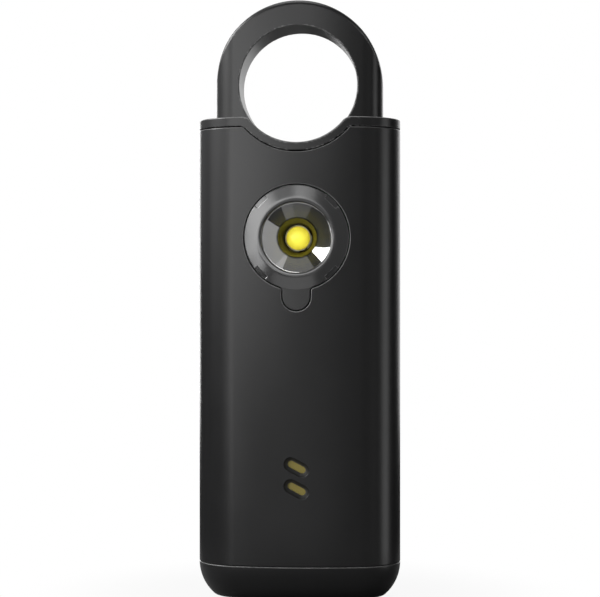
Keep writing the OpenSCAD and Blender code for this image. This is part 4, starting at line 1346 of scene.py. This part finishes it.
# Floor and backdrop: white to the camera, and the backdrop also in what metal, glass and gloss show of it.
# The floor keeps a part of its own shading near the object, so that the shadow stays.
def stageFinish(name, value, whiteShare, mirrorShare):
    material, tree, shader = newMaterial(name)
    setInputs(tree, shader, {"Base Color": grey(value), "Roughness": 0.9, "Specular IOR Level": 0.1})
    light = newNode(tree, "ShaderNodeEmission", {"Color": grey(1.0), "Strength": 1.0})
    rays, place = newNode(tree, "ShaderNodeLightPath").outputs, objectPlace(tree)
    axes = newNode(tree, "ShaderNodeSeparateXYZ", {0: place}).outputs
    behind = rampNode(tree, axes["Y"], *studio["glassShare"])
    through = mathNode(tree, "MULTIPLY", rays["Is Transmission Ray"], behind)
    seen = mathNode(tree, "MAXIMUM", rays["Is Camera Ray"], through)
    reach = vectorNode(tree, "LENGTH", place)["Value"]
    seen = mathNode(tree, "MULTIPLY", seen, rampNode(tree, reach, *whiteShare))
    mirrored = mathNode(tree, "MULTIPLY", rampNode(tree, axes["Z"], *mirrorShare), rays["Is Glossy Ray"])
    mix = newNode(tree, "ShaderNodeMixShader", {
        "Fac": mathNode(tree, "MAXIMUM", seen, mirrored),
        1: shader.outputs["BSDF"],
        2: light.outputs["Emission"],
    })
    setInputs(tree, tree.nodes["Material Output"], {"Surface": mix.outputs["Shader"]})
    return material


def stagePlane(name, corners, material):
    mesh = bpy.data.meshes.new(name)
    mesh.from_pydata(corners, [], [(0, 1, 2, 3)])
    mesh.materials.append(material)
    addObject(name, mesh)


near, side, ahead, behind = studio["floorHalf"], studio["halfWidth"], -studio["ahead"], studio["behind"]
level, top = -studio["floorDrop"], studio["height"]
floorFinish = stageFinish("paleFloor", studio["floorValue"], studio["floorShare"], studio["floorMirror"])
backFinish = stageFinish("whiteBackdrop", studio["backValue"], studio["backShare"], studio["backMirror"])
floorCorners = [(-near, ahead, level), (near, ahead, level), (near, behind, level), (-near, behind, level)]
stagePlane("studioFloor", floorCorners, floorFinish)
backCorners = [(-side, behind, level), (side, behind, level), (side, behind, top), (-side, behind, top)]
stagePlane("studioBackdrop", backCorners, backFinish)

world = bpy.data.worlds.new("studioWorld")
scene.world = world
world.use_nodes = True
tree = world.node_tree
seen = newNode(tree, "ShaderNodeLightPath").outputs["Is Camera Ray"]
setInputs(tree, tree.nodes["Background"], {
    "Color": grey(1.0), "Strength": rampNode(tree, seen, 0.0, 1.0, studio["ambient"], 1.0),
})


def areaLamp(name, width, height, glow, place):
    data = bpy.data.lights.new(name, "AREA")
    data.shape = "RECTANGLE"
    data.size, data.size_y = width, height
    data.energy = glow * math.pi * width * height
    lamp = addObject(name, data)
    lamp.location = place
    return lamp


# Upright soft panel facing the object, from its bearing and the height angles of its edges
def softPanel(name, bearing, halfSpread, low, high, glow, distance):
    width = 2 * distance * math.tan(math.radians(halfSpread))
    bottom, top = (studio["panelLevel"] + distance * math.tan(math.radians(angle)) for angle in (low, high))
    turn = math.radians(bearing)
    place = (distance * math.sin(turn), -distance * math.cos(turn), (bottom + top) / 2)
    areaLamp(name, width, top - bottom, glow, place).rotation_euler = (math.radians(90), 0, turn)


# Soft panels: bearing from the front, half spread, lowest and highest angle, glow, distance
panels = {
    "keyPanel": (-38, 5, -6, 29, 5.1, 0.32),
    "lowKeyPanel": (-33, 4, -11, -6, 5.5, 0.32),
    "innerKeyPanel": (-26.5, 6.5, -1, 21, 5.0, 0.32),
    "frontPanel": (-14, 6, -2, 17, 3.3, 0.32),
    "middlePanel": (3, 9, 6, 30, 2.2, 0.32),
    "underPanel": (2, 10, -10, 0, 0.8, 0.32),
    "highPanel": (-7, 11, 12, 24, 1.9, 0.32),
    "lowPanel": (-6, 18, -26, -14, 1.1, 0.32),
    "cornerPanel": (-50, 2.5, -8, 25, 2.2, 0.32),
    "leftPanel": (-72, 20, 1, 14, 1.8, 0.32),
    "ringPanel": (-62, 15, 12, 24, 2.6, 0.32),
    "archPanel": (-85, 20, 20, 48, 14.0, 0.32),
    "sidePanel": (-114, 22, 2, 14, 0.42, 0.6),
    "rightPanel": (88, 10, -18, 12, 2.5, 0.6),
    "fillPanel": (29, 16, -17, 40, 0.28, 0.32),
    "fillSidePanel": (55, 9, -17, 40, 0.45, 0.32),
    "floorPanel": (-12, 13, -46, -33, 0.06, 0.32),
    "floorSidePanel": (14, 13, -46, -33, 0.1, 0.32),
    "skyPanel": (-2, 26, 33, 48, 0.12, 0.32),
    "rimPanel": (145, 14, -4, 14, 0.28, 0.6),
    "backPanel": (162, 14, -6, 34, 1.4, 0.6),
    "backKeyPanel": (-158, 8, -6, 26, 3.4, 0.6),
}
for name, values in panels.items():
    softPanel(name, *values)
topPanel = {"width": 0.4, "height": 0.4, "glow": 4.0, "place": (-0.05, 0.0, 0.65)}
areaLamp("topPanel", **topPanel)

# The photograph's view: across is the width that it takes in at the object
camera = {"distance": 0.3, "azimuth": 3.8, "height": 0.0471, "across": 0.0957, "shift": 0.0004, "sensor": 36.0}
data = bpy.data.cameras.new("photoCamera")
data.sensor_width = camera["sensor"]
data.lens = camera["sensor"] * camera["distance"] / camera["across"]
data.shift_x = camera["shift"]
data.clip_start = 0.01
viewer = addObject("photoCamera", data)
turn = math.radians(camera["azimuth"])
viewer.location = (camera["distance"] * math.sin(turn), -camera["distance"] * math.cos(turn), camera["height"])
viewer.rotation_euler = (math.radians(90), 0, turn)
scene.camera = viewer
scene.view_settings.view_transform = "Standard"
print("camera and lights set")
